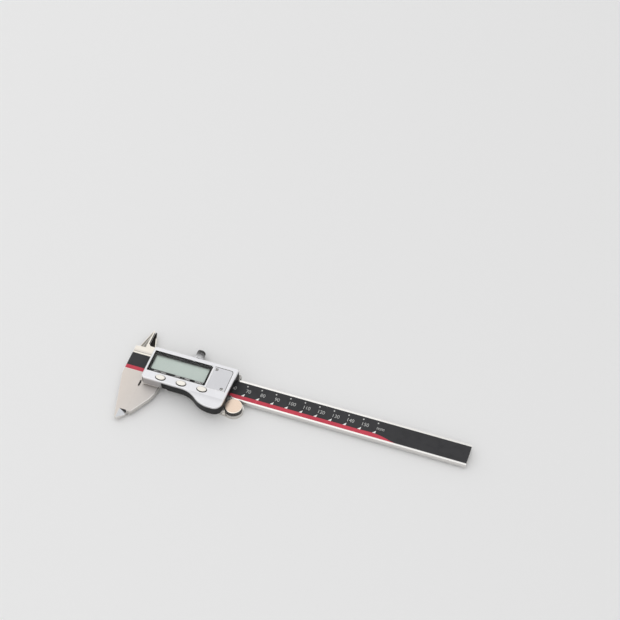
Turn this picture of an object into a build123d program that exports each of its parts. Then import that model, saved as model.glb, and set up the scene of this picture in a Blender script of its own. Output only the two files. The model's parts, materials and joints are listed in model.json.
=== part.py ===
"""Digital caliper, 150 mm, closed, lying on the back of its slider.

X runs along the beam towards its free end, Y towards the inside blades and Z out of the display.
Sizes are in millimetres. Points in the plan are measured from the jaws' measuring plane (x = 0)
and from the beam's lower edge (y = 0), and heights from the slider's back (z = 0).
"""
from build123d import *
import os

# ---------------------------------------------------------------- driving dimensions
# Fits
slide_gap = 0.05          # slider to beam, on every side
closed_gap = 0.02         # between the measuring faces when the jaws are closed
blade_gap = 0.06          # between the crossing inside blades
turn_gap = 0.03           # radial, round pins and screws that turn
press_gap = 0.02          # radial, round fixed screws
case_gap = 0.15           # cover's edge to the case's side
board_gap = 0.3           # circuit board to the case's wall
lens_gap = 0.1            # round the lens and the bezel
lid_gap = 0.1             # left of and below the battery lid
lid_slack = 0.4           # right of and above the battery lid
button_gap = 0.25         # round the buttons' caps

# Beam and fixed jaw
measuring_range = 150.0
beam_width = 16.0
beam_thickness = 3.5
beam_margin = 8.7         # beam left beyond the slider at full travel
beam_bevel = 0.3
head_width = 14.4         # measuring plane to the head's left side
jaw_shoulder = 4.7        # head's straight side below the beam
jaw_reach = 37.6          # fixed jaw's tip below the beam
jaw_tip_left = 5.6        # tip's flat end, measured back from the measuring plane
jaw_tip_right = 4.1
jaw_tip_cut_width = 0.6   # corner cut off the tip's left side
jaw_tip_cut_height = 1.2
jaw_face_end = 33.0       # where the fixed measuring face ends
jaw_bevel = 0.35
knife_start = 30.7        # knife edge of the fixed tip
knife_width = 4.7
knife_depth = 2.4
relief_top = 5.5          # slot between the jaws' roots
relief_length = 4.9
relief_depth = 0.6

# Scale
scale_border = 1.0        # steel left below the label
scale_width = 13.4
circuit_thickness = 0.5
label_thickness = 0.15
label_sink = 0.1
strip_gap = 0.05

# Inside blades
blade_plane = -6.7        # x where both blades' measuring edges meet
blade_reach = 19.6        # blades' tips above the beam
block_height = 6.5        # head's block above the beam
block_gap = 0.6           # rear block's end to the slider
block_corner = 0.5        # rear block's right side to its top
block_drop = 2.0          # block's left side below its right side
blade_root_run = 1.4      # rear blade's root
blade_root_rise = 1.7
blade_root_step = 1.8     # front blade's root
blade_tip = 0.9           # width of the blades' blunt tips
blade_lead = 0.225        # tips beyond the blades' plane
blade_tip_height = 1.5
blade_shoulder = 2.4      # head's left side to the front blade's root
blade_bevel = 0.3
blade_facet_depth = 0.25
blade_facet_border = 1.1
blade_facet_left = 2.4
blade_facet_drop = 1.6
blade_facet_tip = 5.1

# Slider frame
back_wall = 1.6
frame_edge_radius = 0.4
lip_thickness = 0.9
lip_reach = 1.3           # lips over the beam's front edges
upper_rail = 1.7
lower_rail = 2.4
moving_jaw_width = 13.4
moving_jaw_reach = 31.2
moving_jaw_tip = 2.8
moving_jaw_bend_x = 10.4
moving_jaw_bend_y = 18.0
moving_jaw_bow_x = 0.8    # outer side's curve
moving_jaw_bow_y = 11.3
moving_jaw_shoulder = 1.0
root_left = 1.3           # raised root of the moving jaw under the case
root_right = 13.2
root_reach = 7.3
root_radius = 1.2
arm_fairing = 6.0         # where the arm's top meets the upper rail
arm_slope = 3.0
arm_step = 0.2
arm_drop = 2.4
lobe_length = 16.7        # steel under the thumb rest
lobe_reach = 11.0
lobe_radius = 3.0

# Gib strip and its screws
gib_thickness = 1.2
gib_inset = 4.0           # gib's ends to the slider's ends
gib_screw_radius = 0.8
gib_screw_inset = 15.0
gib_screw_bevel = 0.15

# Lock screw
lock_x = 29.0
lock_boss_width = 8.4
lock_boss_top = 6.3       # above the beam's upper edge
lock_boss_thickness = 5.0
lock_boss_radius = 1.4
lock_shank_radius = 1.2
lock_knob_radius = 2.9
lock_knob_height = 7.5
lock_knob_gap = 0.4
lock_knob_bevel = 0.6

# Thumb wheel
wheel_radius = 5.75
wheel_offset = 3.5        # wheel's axle beyond the slider's end
wheel_top = 1.0           # above the beam's front
wheel_gap = 0.1           # wheel to ear
wheel_bevel = 0.25
ear_radius = 6.45
ear_top = 3.3             # above the slider's back
wheel_room = 0.35         # round the wheel
ear_taper = 0.8           # ear's lower side, as a share of the wheel's radius
pin_radius = 1.5
pin_head_radius = 2.6
pin_head_height = 0.65
cap_border = 0.35
cap_thickness = 0.65

# Depth rod and end plate
rod_width = 3.2
rod_thickness = 1.2
rod_side_gap = 0.2
rod_floor_gap = 0.1
rod_cover_gap = 0.05
rod_foot_inset = 3.7      # rod's foot to the slider's end
rod_foot_length = 30.0
rod_tip_length = 4.0
rod_tip_relief = 1.2
rod_screw_radius = 1.0
rod_screw_head = 1.9
rod_screw_inset = 6.0
end_plate_length = 7.0
end_plate_width = 10.0
end_plate_thickness = 0.5
end_plate_margin = 0.8
end_screw_radius = 0.6
end_screw_head = 1.1
end_screw_length = 2.2
end_screw_inset = 1.6

# Housing
cover_left = 1.2
cover_end_gap = 1.7       # slider's end beyond the cover
cover_bottom = 7.8        # below the beam's lower edge
cover_above = 2.3         # above the beam's upper edge
cover_plate = 1.2
cover_rim = 0.45
cover_rim_wall = 0.9
cover_bevel = 0.5
cover_corner = 0.6
cover_lean_top = 0.5      # right side's top, beyond the cover's length
cover_lean_foot = 0.7     # and its foot, short of it
cover_cut = 1.6
apron_right = 15.4        # cover's apron over the moving jaw
rest_run = 22.3           # thumb rest's curve
rest_flat = 8.5           # and its straight edge
rest_reach = 15.9
rest_corner = 5.5
skirt_lead = 10.0         # case's skirt ahead of the thumb rest
dish_lead = 6.0           # hollow of the thumb rest, from the curve's start
dish_drop = 13.0          # its middle below the beam's lower edge
dish_radius = 42.0
dish_depth = 0.3
case_height = 5.4
case_wall = 0.8
case_floor = 1.0
case_post_radius = 1.7

# Display
window_left = 2.6
window_width = 41.1
window_bottom = 1.5       # below the beam's lower edge
window_height = 16.8
window_corner = 0.5
bezel_side = 1.6
bezel_top = 2.2
bezel_bottom = 2.5
bezel_thickness = 0.7
lens_thickness = 0.6
lens_sink = 0.15
lens_bed = 0.05           # glue between the lens and the bezel
panel_thickness = 1.8
panel_border = 0.7
connector_width = 1.6
board_thickness = 1.0
chip_size = 8.0
chip_height = 1.2
chip_corner = 0.6

# Sensor plate and wipers
sensor_height = 0.8
sensor_side_gap = 0.2
sensor_float = 0.15       # above the beam's front
header_width = 2.0
header_length = 6.7
header_inset = 4.0
wiper_length = 2.2
wiper_inset = 2.6

# Battery
lid_bar = 1.2             # metal between the window and the lid
lid_margin = 2.4          # lid to the cover's end
lid_seat = 0.25           # seat beside the cell's room
lid_bottom = 2.2          # below the beam's lower edge
lid_height = 17.4
lid_thickness = 0.8
lid_sink = 0.05
lid_corner = 1.8
lid_cut = 0.9
lid_screw_radius = 0.7
lid_screw_head = 1.1
lid_screw_head_height = 0.35
lid_screw_length = 3.4
lid_screw_inset = 1.7
lid_screw_right = 2.55
lid_post_radius = 1.5
cell_radius = 5.8
cell_height = 5.4
cell_room = 0.3
contact_thickness = 0.3
contact_width = 3.0
contact_radius = 2.9
contact_length = 10.4

# Buttons
button_names = ("unit_button", "power_button", "zero_button")
button_inset = 0.7        # last button's middle to the window's right side
button_pitch = 14.5
button_y = -4.7
button_half_length = 3.25
button_half_width = 1.9
button_proud = 0.8
button_travel = 0.4
button_flange = 0.5
button_flange_height = 0.7
button_stem_radius = 1.5
button_dome = 0.45
button_rim = 0.2          # bevel of the buttons' holes
switch_gap = 0.05
switch_size = 3.6
switch_height = 0.6
switch_plunger = 1.1
switch_plunger_radius = 0.9

# Screws through the frame
cover_screw_radius = 0.8
cover_screw_head = 1.5
cover_screw_left = 4.2    # places, from the cover's ends and the beam's lower edge
cover_screw_right = 7.2
cover_screw_drop = 9.1
cover_screw_end = 0.55    # metal left above their tips
board_screw_radius = 0.6
board_screw_head = 1.1
board_screw_head_height = 0.5
board_screw_length = 0.7
board_screw_inset = 3.0
screw_sink = 0.05

# ---------------------------------------------------------------- levels and places
beam_back = back_wall + slide_gap
beam_front = beam_back + beam_thickness
beam_middle = beam_back + beam_thickness / 2
frame_front = beam_front + slide_gap + lip_thickness
case_top = frame_front + case_height
plate_back = case_top + cover_rim
cover_front = plate_back + cover_plate
board_back = frame_front + case_floor
board_front = board_back + board_thickness
cover_top = beam_width + cover_above

window_right = window_left + window_width
lid_left = window_right + lid_bar
lid_width = 2 * (cell_radius + cell_room + lid_seat)
cover_right = lid_left + lid_width + lid_margin
slider_length = cover_right + cover_end_gap
rest_end = cover_right - rest_flat
rest_start = rest_end - rest_run
skirt_left = rest_start - skirt_lead
lobe_left = slider_length - lobe_length

beam_end = slider_length + measuring_range + beam_margin
blade_top = beam_width + blade_reach
channel_top = beam_width + gib_thickness + 2 * slide_gap
rail_top = channel_top + upper_rail
block_top = beam_width + block_height
label_top = beam_front - label_sink
scale_floor = label_top - label_thickness - circuit_thickness

wheel_x = slider_length + wheel_offset
wheel_y = -(wheel_radius + slide_gap)
wheel_back = ear_top + wheel_gap
wheel_front = beam_front + wheel_top

plate_pocket = beam_back + end_plate_thickness + press_gap
rod_back = plate_pocket + rod_cover_gap
rod_front = rod_back + rod_thickness
groove_floor = rod_front + rod_floor_gap
rod_y = beam_width / 2
rod_start = slider_length - rod_foot_inset - rod_foot_length
end_plate_x = beam_end - end_plate_margin - end_plate_length

lens_front = cover_front - lens_sink
lens_back = lens_front - lens_thickness
bezel_back = lens_back - lens_bed - bezel_thickness
panel_back = bezel_back - panel_thickness
view_left = window_left + bezel_side
view_width = window_width - 2 * bezel_side
view_bottom = -window_bottom + bezel_bottom
view_height = window_height - bezel_top - bezel_bottom
panel_height = view_height + 2 * panel_border
panel_y = view_bottom + view_height / 2

lid_front = cover_front - lid_sink
lid_back = lid_front - lid_thickness
cell_front = lid_back - lid_gap
cell_back = cell_front - cell_height
cell_x = lid_left + lid_width / 2
cell_y = -lid_bottom + lid_height / 2
lid_screws = (
    (lid_left + lid_screw_inset, -lid_bottom + lid_height - lid_screw_inset),
    (lid_left + lid_width - lid_screw_right, -lid_bottom + lid_screw_inset),
)

button_x = [window_right - button_inset - step * button_pitch for step in (2, 1, 0)]
button_front = cover_front + button_proud
flange_front = plate_back - slide_gap
flange_back = flange_front - button_flange_height
button_end = board_front + switch_plunger + button_travel + switch_gap

cover_screws_at = (
    (cover_left + cover_screw_left, button_y),
    (cover_right - cover_screw_right, -cover_screw_drop),
)
board_screws_at = [
    (x, y)
    for x in (cover_left + board_screw_inset, window_right - board_screw_inset)
    for y in (-lower_rail / 2, beam_width - lip_reach / 2 + slide_gap)
]
gib_screws_at = (gib_screw_inset, slider_length - gib_screw_inset)

# The origin lies under the middle of the whole tool.
datum = Plane(
    origin=(-(beam_end - head_width) / 2, -(blade_top - jaw_reach) / 2, 0),
    x_dir=(1, 0, 0),
    z_dir=(0, 0, 1),
)
middle_bottom = (Align.CENTER, Align.CENTER, Align.MIN)
corner = (Align.MIN, Align.MIN)
near = 0.01               # tolerance for finding an edge by its place


def section_plane(x):
    """A plane across the beam at x, with Y to its right and Z up."""
    return Plane(origin=datum.from_local_coords((x, 0, 0)), x_dir=(0, 1, 0), z_dir=(1, 0, 0))


def rail_plane(x, y):
    """A plane that faces the inside blades, at the middle of the beam's thickness."""
    return Plane(
        origin=datum.from_local_coords((x, y, beam_middle)), x_dir=(1, 0, 0), z_dir=(0, 1, 0)
    )


def flat_head_screws(plane, places, head_radius, shank_radius, length):
    """Countersunk screws with their heads in the plane and their shanks along its normal."""
    with BuildPart(plane) as screws:
        with Locations(*places):
            Cylinder(shank_radius, length, align=middle_bottom)
            Cone(head_radius, shank_radius, head_radius - shank_radius, align=middle_bottom)
    return screws.part


def write(part, name):
    """Label a finished piece and write it."""
    part.label = name
    export_step(part, f"parts/{name}.step")


os.makedirs("parts", exist_ok=True)

# ---------------------------------------------------------------- beam with the fixed jaws
with BuildPart() as beam:
    # Bar and outside jaw, in the full thickness of the beam
    with BuildSketch(datum.offset(beam_back)):
        with Locations((-head_width, 0)):
            Rectangle(beam_end + head_width, beam_width, align=corner)
        with BuildLine():
            Polyline(
                (-closed_gap / 2, 0),
                (-head_width, 0),
                (-head_width, -jaw_shoulder),
                (-jaw_tip_left - jaw_tip_cut_width, -jaw_reach + jaw_tip_cut_height),
                (-jaw_tip_left, -jaw_reach),
                (-jaw_tip_right, -jaw_reach),
                (-closed_gap / 2, -jaw_face_end),
                close=True,
            )
        make_face()
        with Locations((-closed_gap / 2, -relief_top - relief_length / 2)):
            SlotOverall(relief_length, 2 * relief_depth, rotation=90, mode=Mode.SUBTRACT)
    extrude(amount=beam_thickness)
    front_edges = beam.faces().sort_by(Axis.Z)[-1].edges()
    long_edges = front_edges.filter_by(lambda edge: edge.length > beam_end / 2)
    jaw_edges = front_edges.filter_by(
        lambda edge: jaw_shoulder / 2 < edge.length < beam_end / 2
        and edge.center().X < datum.origin.X - jaw_tip_right
        and edge.center().Y < datum.origin.Y
    )
    chamfer(jaw_edges, length=jaw_bevel)
    chamfer(long_edges, length=beam_bevel)
    # Rear block and the blade whose measuring edge faces left
    with BuildSketch(datum.offset(beam_back)):
        with BuildLine():
            Polyline(
                (-head_width, beam_width - beam_bevel),
                (-block_gap, beam_width - beam_bevel),
                (-block_gap, block_top - block_corner),
                (-block_gap - blade_root_run, block_top + blade_root_rise),
                (blade_plane + blade_lead + blade_tip, blade_top),
                (blade_plane + blade_lead, blade_top),
                (blade_plane, blade_top - blade_tip_height),
                (blade_plane, block_top - blade_tip),
                (-head_width, block_top - block_drop),
                close=True,
            )
        make_face()
    extrude(amount=(beam_thickness - blade_gap) / 2)
    # Knife edge of the outside jaw's tip
    knife_plane = Plane(
        origin=datum.from_local_coords((0, -knife_start, beam_front)), x_dir=(1, 0, 0), z_dir=(0, -1, 0)
    )
    with BuildSketch(knife_plane):
        with BuildLine():
            Polyline((-knife_width, 0), (0, 0), (0, -knife_depth), close=True)
        make_face()
    extrude(amount=jaw_reach, mode=Mode.SUBTRACT)
    # Recess for the scale, in front
    with BuildSketch(datum.offset(scale_floor)):
        with Locations((-head_width, scale_border)):
            Rectangle(beam_end + head_width, scale_width, align=corner)
    extrude(amount=beam_thickness, mode=Mode.SUBTRACT)
    # Groove for the depth rod and pocket for the end plate, behind
    with BuildSketch(datum.offset(beam_back)):
        with Locations((rod_start - rod_side_gap, rod_y)):
            Rectangle(
                beam_end - rod_start + rod_side_gap,
                rod_width + 2 * rod_side_gap,
                align=(Align.MIN, Align.CENTER),
            )
    extrude(amount=groove_floor - beam_back, mode=Mode.SUBTRACT)
    with BuildSketch(datum.offset(beam_back)):
        with Locations((end_plate_x - press_gap, rod_y)):
            Rectangle(
                end_plate_length + 2 * press_gap,
                end_plate_width + 2 * press_gap,
                align=(Align.MIN, Align.CENTER),
            )
    extrude(amount=plate_pocket - beam_back, mode=Mode.SUBTRACT)
    end_screws_at = [
        (end_plate_x + end_plate_length / 2, rod_y + side * (end_plate_width / 2 - end_screw_inset))
        for side in (-1, 1)
    ]
    with Locations(*[datum.from_local_coords((x, y, beam_back)) for x, y in end_screws_at]):
        Cylinder(
            end_screw_radius + press_gap,
            end_screw_length + screw_sink,
            align=middle_bottom,
            mode=Mode.SUBTRACT,
        )
write(beam.part, "beam")

# ---------------------------------------------------------------- scale
for name, height, thickness in (
    ("scale_circuit", scale_floor, circuit_thickness),
    ("scale_label", scale_floor + circuit_thickness, label_thickness),
):
    with BuildPart() as strip:
        with BuildSketch(datum.offset(height)):
            with Locations((-head_width, scale_border + strip_gap)):
                Rectangle(
                    beam_end + head_width,
                    scale_width - 2 * strip_gap,
                    align=corner,
                )
        extrude(amount=thickness)
    write(strip.part, name)

# ---------------------------------------------------------------- end plate
with BuildPart() as end_plate:
    with BuildSketch(datum.offset(beam_back)):
        with Locations((end_plate_x, rod_y)):
            Rectangle(end_plate_length, end_plate_width, align=(Align.MIN, Align.CENTER))
    extrude(amount=end_plate_thickness)
    with Locations(*[datum.from_local_coords((x, y, beam_back)) for x, y in end_screws_at]):
        Cylinder(
            end_screw_radius + press_gap,
            end_plate_thickness,
            align=middle_bottom,
            mode=Mode.SUBTRACT,
        )
        Cone(
            end_screw_head + press_gap,
            end_screw_radius + press_gap,
            end_screw_head - end_screw_radius,
            align=middle_bottom,
            mode=Mode.SUBTRACT,
        )
write(end_plate.part, "end_plate")
write(
    flat_head_screws(
        datum.offset(beam_back), end_screws_at, end_screw_head, end_screw_radius, end_screw_length
    ),
    "end_plate_screws",
)

# ---------------------------------------------------------------- slider frame
rod_screws_at = [
    (rod_start + rod_screw_inset, rod_y),
    (rod_start + rod_foot_length - rod_screw_inset, rod_y),
]
with BuildPart() as slider_frame:
    # Moving outside jaw
    with BuildSketch(datum.offset(beam_back)):
        with BuildLine():
            Line((closed_gap / 2, -slide_gap), (closed_gap / 2, -moving_jaw_reach))
            Line((closed_gap / 2, -moving_jaw_reach), (moving_jaw_tip, -moving_jaw_reach))
            Line((moving_jaw_tip, -moving_jaw_reach), (moving_jaw_bend_x, -moving_jaw_bend_y))
            ThreePointArc(
                (moving_jaw_bend_x, -moving_jaw_bend_y),
                (moving_jaw_width - moving_jaw_bow_x, -moving_jaw_bow_y),
                (moving_jaw_width, -lower_rail - moving_jaw_shoulder),
            )
            Line(
                (moving_jaw_width, -lower_rail - moving_jaw_shoulder), (moving_jaw_width, -slide_gap)
            )
            Line((moving_jaw_width, -slide_gap), (closed_gap / 2, -slide_gap))
        make_face()
        with Locations((closed_gap / 2, -relief_top - relief_length / 2)):
            SlotOverall(relief_length, 2 * relief_depth, rotation=90, mode=Mode.SUBTRACT)
    extrude(amount=beam_thickness)
    chamfer(
        [edge for edge in slider_frame.faces().sort_by(Axis.Z)[-1].edges()
         if edge.length > relief_length and edge.center().X > datum.origin.X + moving_jaw_tip],
        length=jaw_bevel,
    )
    # Channel round the beam, open in front between its lips
    with BuildSketch(section_plane(closed_gap / 2)):
        with Locations((-lower_rail, 0)):
            Rectangle(lower_rail + rail_top, frame_front, align=corner)
        with Locations((-slide_gap, back_wall)):
            Rectangle(
                channel_top + slide_gap,
                beam_thickness + 2 * slide_gap,
                align=corner,
                mode=Mode.SUBTRACT,
            )
        with Locations((lip_reach, back_wall)):
            Rectangle(
                beam_width - 2 * lip_reach,
                frame_front,
                align=corner,
                mode=Mode.SUBTRACT,
            )
    extrude(amount=slider_length - closed_gap / 2)
    fillet(slider_frame.edges().filter_by(Axis.X).group_by(Axis.Z)[0], radius=frame_edge_radius)
    # Wide root of the moving jaw, under the case
    with BuildSketch(datum.offset(beam_back)):
        with Locations((root_left, -root_reach)):
            root = Rectangle(
                root_right - root_left, root_reach - slide_gap, align=corner
            )
        fillet(root.vertices().group_by(Axis.Y)[0], radius=root_radius)
    extrude(amount=frame_front - beam_back)
    # Arm over the fixed head, and the blade whose measuring edge faces right
    with BuildSketch(datum.offset(beam_middle + blade_gap / 2)):
        with BuildLine():
            Polyline(
                (-head_width, beam_width + slide_gap),
                (closed_gap / 2, beam_width + slide_gap),
                (closed_gap / 2, channel_top),
                (arm_fairing, channel_top),
                (arm_fairing, rail_top - arm_step),
                (arm_fairing - arm_slope, block_top),
                (blade_plane + blade_root_step, block_top),
                (blade_plane, block_top + blade_root_step),
                (blade_plane, blade_top - blade_tip_height),
                (blade_plane - blade_lead, blade_top),
                (blade_plane - blade_lead - blade_tip, blade_top),
                (-head_width + blade_shoulder, block_top - block_drop),
                (-head_width, block_top - arm_drop),
                close=True,
            )
        make_face()
    extrude(amount=(beam_thickness - blade_gap) / 2)
    blade_edges = slider_frame.edges().filter_by(
        lambda edge: abs(edge.center().Z - beam_front) < slide_gap / 2
        and edge.center().Y > datum.origin.Y + block_top + blade_root_step
        and edge.length > blade_reach / 2
    )
    chamfer(blade_edges, length=blade_bevel)
    # Hollow-ground facet on the blade
    with BuildSketch(datum.offset(beam_front - blade_facet_depth)):
        with BuildLine():
            Polyline(
                (-head_width + blade_shoulder + blade_facet_left, block_top - blade_facet_drop),
                (blade_plane - blade_facet_border, block_top - blade_facet_drop),
                (blade_plane - blade_facet_border, blade_top - blade_facet_tip),
                close=True,
            )
        make_face()
    extrude(amount=blade_facet_depth, mode=Mode.SUBTRACT)
    # Lobe under the thumb rest, and the ear that carries the thumb wheel
    with BuildSketch(datum):
        with Locations((lobe_left, -lobe_reach)):
            lobe = Rectangle(
                slider_length - lobe_left, lobe_reach - slide_gap, align=corner
            )
        fillet(lobe.vertices().group_by(Axis.Y)[0], radius=lobe_radius)
    extrude(amount=beam_front)
    with BuildSketch(datum):
        with Locations((wheel_x, wheel_y)):
            Circle(ear_radius)
        with BuildLine():
            Polyline(
                (slider_length - wheel_radius, wheel_y + wheel_radius),
                (wheel_x, wheel_y + wheel_radius),
                (wheel_x, wheel_y - ear_radius),
                (slider_length - wheel_radius, wheel_y - ear_taper * ear_radius),
                close=True,
            )
        make_face()
    extrude(amount=back_wall)
    with BuildSketch(datum):
        with Locations((wheel_x, wheel_y)):
            Circle(ear_radius)
        with Locations((wheel_x, -slide_gap)):
            Rectangle(
                2 * ear_radius, 2 * ear_radius, align=(Align.CENTER, Align.MAX), mode=Mode.INTERSECT
            )
    extrude(amount=ear_top)
    with BuildSketch(datum.offset(ear_top)):
        with Locations((wheel_x, wheel_y)):
            Circle(wheel_radius + wheel_room)
    extrude(amount=frame_front, mode=Mode.SUBTRACT)
    with Locations(datum.from_local_coords((wheel_x, wheel_y, 0))):
        Cylinder(pin_radius, ear_top, align=middle_bottom, mode=Mode.SUBTRACT)
    # Boss of the lock screw
    with BuildSketch(rail_plane(lock_x, channel_top)):
        boss = Rectangle(lock_boss_width, lock_boss_thickness)
        fillet(boss.vertices(), radius=lock_boss_radius)
    extrude(amount=beam_width + lock_boss_top - channel_top)
    with BuildSketch(rail_plane(lock_x, channel_top)):
        Circle(lock_shank_radius + turn_gap)
    extrude(amount=lock_boss_top + gib_thickness, mode=Mode.SUBTRACT)
    # Holes of the gib screws, the rod's screws, the cover's screws and the board's screws
    for x in gib_screws_at:
        with BuildSketch(rail_plane(x, channel_top)):
            Circle(gib_screw_radius + press_gap)
        extrude(amount=upper_rail, mode=Mode.SUBTRACT)
    with Locations(*[datum.from_local_coords((x, y, 0)) for x, y in rod_screws_at]):
        Cylinder(
            rod_screw_radius + press_gap, back_wall, align=middle_bottom, mode=Mode.SUBTRACT
        )
        Cone(
            rod_screw_head + press_gap,
            rod_screw_radius + press_gap,
            rod_screw_head - rod_screw_radius,
            align=middle_bottom,
            mode=Mode.SUBTRACT,
        )
    with Locations(*[datum.from_local_coords((x, y, 0)) for x, y in cover_screws_at]):
        Cylinder(
            cover_screw_radius + press_gap, frame_front, align=middle_bottom, mode=Mode.SUBTRACT
        )
        Cone(
            cover_screw_head + press_gap,
            cover_screw_radius + press_gap,
            cover_screw_head - cover_screw_radius,
            align=middle_bottom,
            mode=Mode.SUBTRACT,
        )
    with Locations(
        *[datum.from_local_coords((x, y, frame_front - board_screw_length))
          for x, y in board_screws_at]
    ):
        Cylinder(
            board_screw_radius + press_gap,
            board_screw_length,
            align=middle_bottom,
            mode=Mode.SUBTRACT,
        )
write(slider_frame.part, "slider_frame")

# ---------------------------------------------------------------- gib strip, gib and lock screws
with BuildPart() as gib_strip:
    with BuildSketch(section_plane(gib_inset)):
        with Locations((beam_width + slide_gap, beam_back + slide_gap)):
            Rectangle(gib_thickness, beam_thickness - 2 * slide_gap, align=corner)
    extrude(amount=slider_length - 2 * gib_inset)
write(gib_strip.part, "gib_strip")

with BuildPart() as gib_screws:
    for x in gib_screws_at:
        with BuildSketch(rail_plane(x, channel_top - slide_gap)):
            Circle(gib_screw_radius)
        extrude(amount=upper_rail)
        chamfer(gib_screws.edges().group_by(Axis.Y)[-1], length=gib_screw_bevel)
write(gib_screws.part, "gib_screws")

lock_head_y = beam_width + lock_boss_top + lock_knob_gap
with BuildPart() as lock_screw:
    with BuildSketch(rail_plane(lock_x, channel_top)):
        Circle(lock_shank_radius)
    extrude(amount=lock_head_y - channel_top + lock_knob_bevel)
    with BuildSketch(rail_plane(lock_x, lock_head_y)):
        Circle(lock_knob_radius)
    extrude(amount=lock_knob_height)
    chamfer(
        lock_screw.edges().filter_by(GeomType.CIRCLE).group_by(Axis.Y)[-1], length=lock_knob_bevel
    )
    chamfer(
        lock_screw.edges().filter_by(GeomType.CIRCLE).filter_by_position(
            Axis.Y, lock_head_y + datum.origin.Y - near, lock_head_y + datum.origin.Y + near
        ).sort_by(SortBy.RADIUS)[-1],
        length=lock_knob_bevel / 2,
    )
write(lock_screw.part, "lock_screw")

# ---------------------------------------------------------------- depth rod
with BuildPart() as depth_rod:
    with BuildSketch(datum.offset(rod_back)):
        with Locations((rod_start, rod_y)):
            Rectangle(beam_end - rod_start, rod_width, align=(Align.MIN, Align.CENTER))
        with Locations((beam_end, rod_y - rod_width / 2)):
            Rectangle(
                2 * rod_tip_length, 2 * rod_tip_relief, mode=Mode.SUBTRACT
            )
    extrude(amount=rod_thickness)
    with BuildSketch(datum.offset(back_wall)):
        with Locations((rod_start, rod_y)):
            Rectangle(rod_foot_length, rod_width, align=(Align.MIN, Align.CENTER))
    extrude(amount=rod_back - back_wall)
    with Locations(*[datum.from_local_coords((x, y, back_wall)) for x, y in rod_screws_at]):
        Cylinder(
            rod_screw_radius + press_gap,
            rod_front - back_wall,
            align=middle_bottom,
            mode=Mode.SUBTRACT,
        )
write(depth_rod.part, "depth_rod")
write(
    flat_head_screws(
        datum, rod_screws_at, rod_screw_head, rod_screw_radius, rod_front - screw_sink
    ),
    "rod_screws",
)

# ---------------------------------------------------------------- thumb wheel
cap_back = wheel_front - cap_thickness
wheel_shelf = cap_back - pin_head_height - 2 * wheel_gap
with BuildPart() as thumb_wheel:
    with BuildSketch(datum.offset(wheel_back)):
        with Locations((wheel_x, wheel_y)):
            Circle(wheel_radius)
    extrude(amount=wheel_front - wheel_back)
    chamfer(thumb_wheel.edges().filter_by(GeomType.CIRCLE), length=wheel_bevel)
    with Locations(datum.from_local_coords((wheel_x, wheel_y, wheel_back))):
        Cylinder(
            pin_radius + turn_gap, wheel_front, align=middle_bottom, mode=Mode.SUBTRACT
        )
    with Locations(datum.from_local_coords((wheel_x, wheel_y, wheel_shelf))):
        Cylinder(
            pin_head_radius + wheel_gap, wheel_front, align=middle_bottom, mode=Mode.SUBTRACT
        )
    with Locations(datum.from_local_coords((wheel_x, wheel_y, cap_back))):
        Cylinder(
            wheel_radius - cap_border, wheel_front, align=middle_bottom, mode=Mode.SUBTRACT
        )
write(thumb_wheel.part, "thumb_wheel")

with BuildPart() as wheel_cap:
    with BuildSketch(datum.offset(cap_back)):
        with Locations((wheel_x, wheel_y)):
            Circle(wheel_radius - cap_border)
    extrude(amount=cap_thickness)
write(wheel_cap.part, "wheel_cap")

with BuildPart() as wheel_pin:
    with BuildSketch(datum):
        with Locations((wheel_x, wheel_y)):
            Circle(pin_radius)
    extrude(amount=wheel_shelf + wheel_gap)
    with BuildSketch(datum.offset(wheel_shelf + wheel_gap)):
        with Locations((wheel_x, wheel_y)):
            Circle(pin_head_radius)
    extrude(amount=pin_head_height)
write(wheel_pin.part, "wheel_pin")

# ---------------------------------------------------------------- housing outline
with BuildSketch(Plane.XY) as housing_outline:
    with BuildLine():
        middle_x = (rest_start + rest_end) / 2
        middle_y = -(cover_bottom + rest_reach) / 2
        Line((cover_left, cover_top), (cover_left, -cover_bottom + cover_cut))
        Line((cover_left, -cover_bottom + cover_cut), (cover_left + cover_cut, -cover_bottom))
        Line((cover_left + cover_cut, -cover_bottom), (rest_start, -cover_bottom))
        TangentArc((rest_start, -cover_bottom), (middle_x, middle_y), tangent=(1, 0))
        TangentArc(
            (rest_end, -rest_reach), (middle_x, middle_y), tangent=(-1, 0)
        )
        Line((rest_end, -rest_reach), (cover_right - cover_lean_foot, -rest_reach))
        Line((cover_right - cover_lean_foot, -rest_reach), (cover_right + cover_lean_top, cover_top))
        Line((cover_right + cover_lean_top, cover_top), (cover_left, cover_top))
    make_face()
    lowest = housing_outline.vertices().group_by(Axis.Y)[0].sort_by(Axis.X)
    fillet(lowest[-1], radius=rest_corner)
    fillet(housing_outline.vertices().group_by(Axis.Y)[-1], radius=cover_corner)

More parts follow.
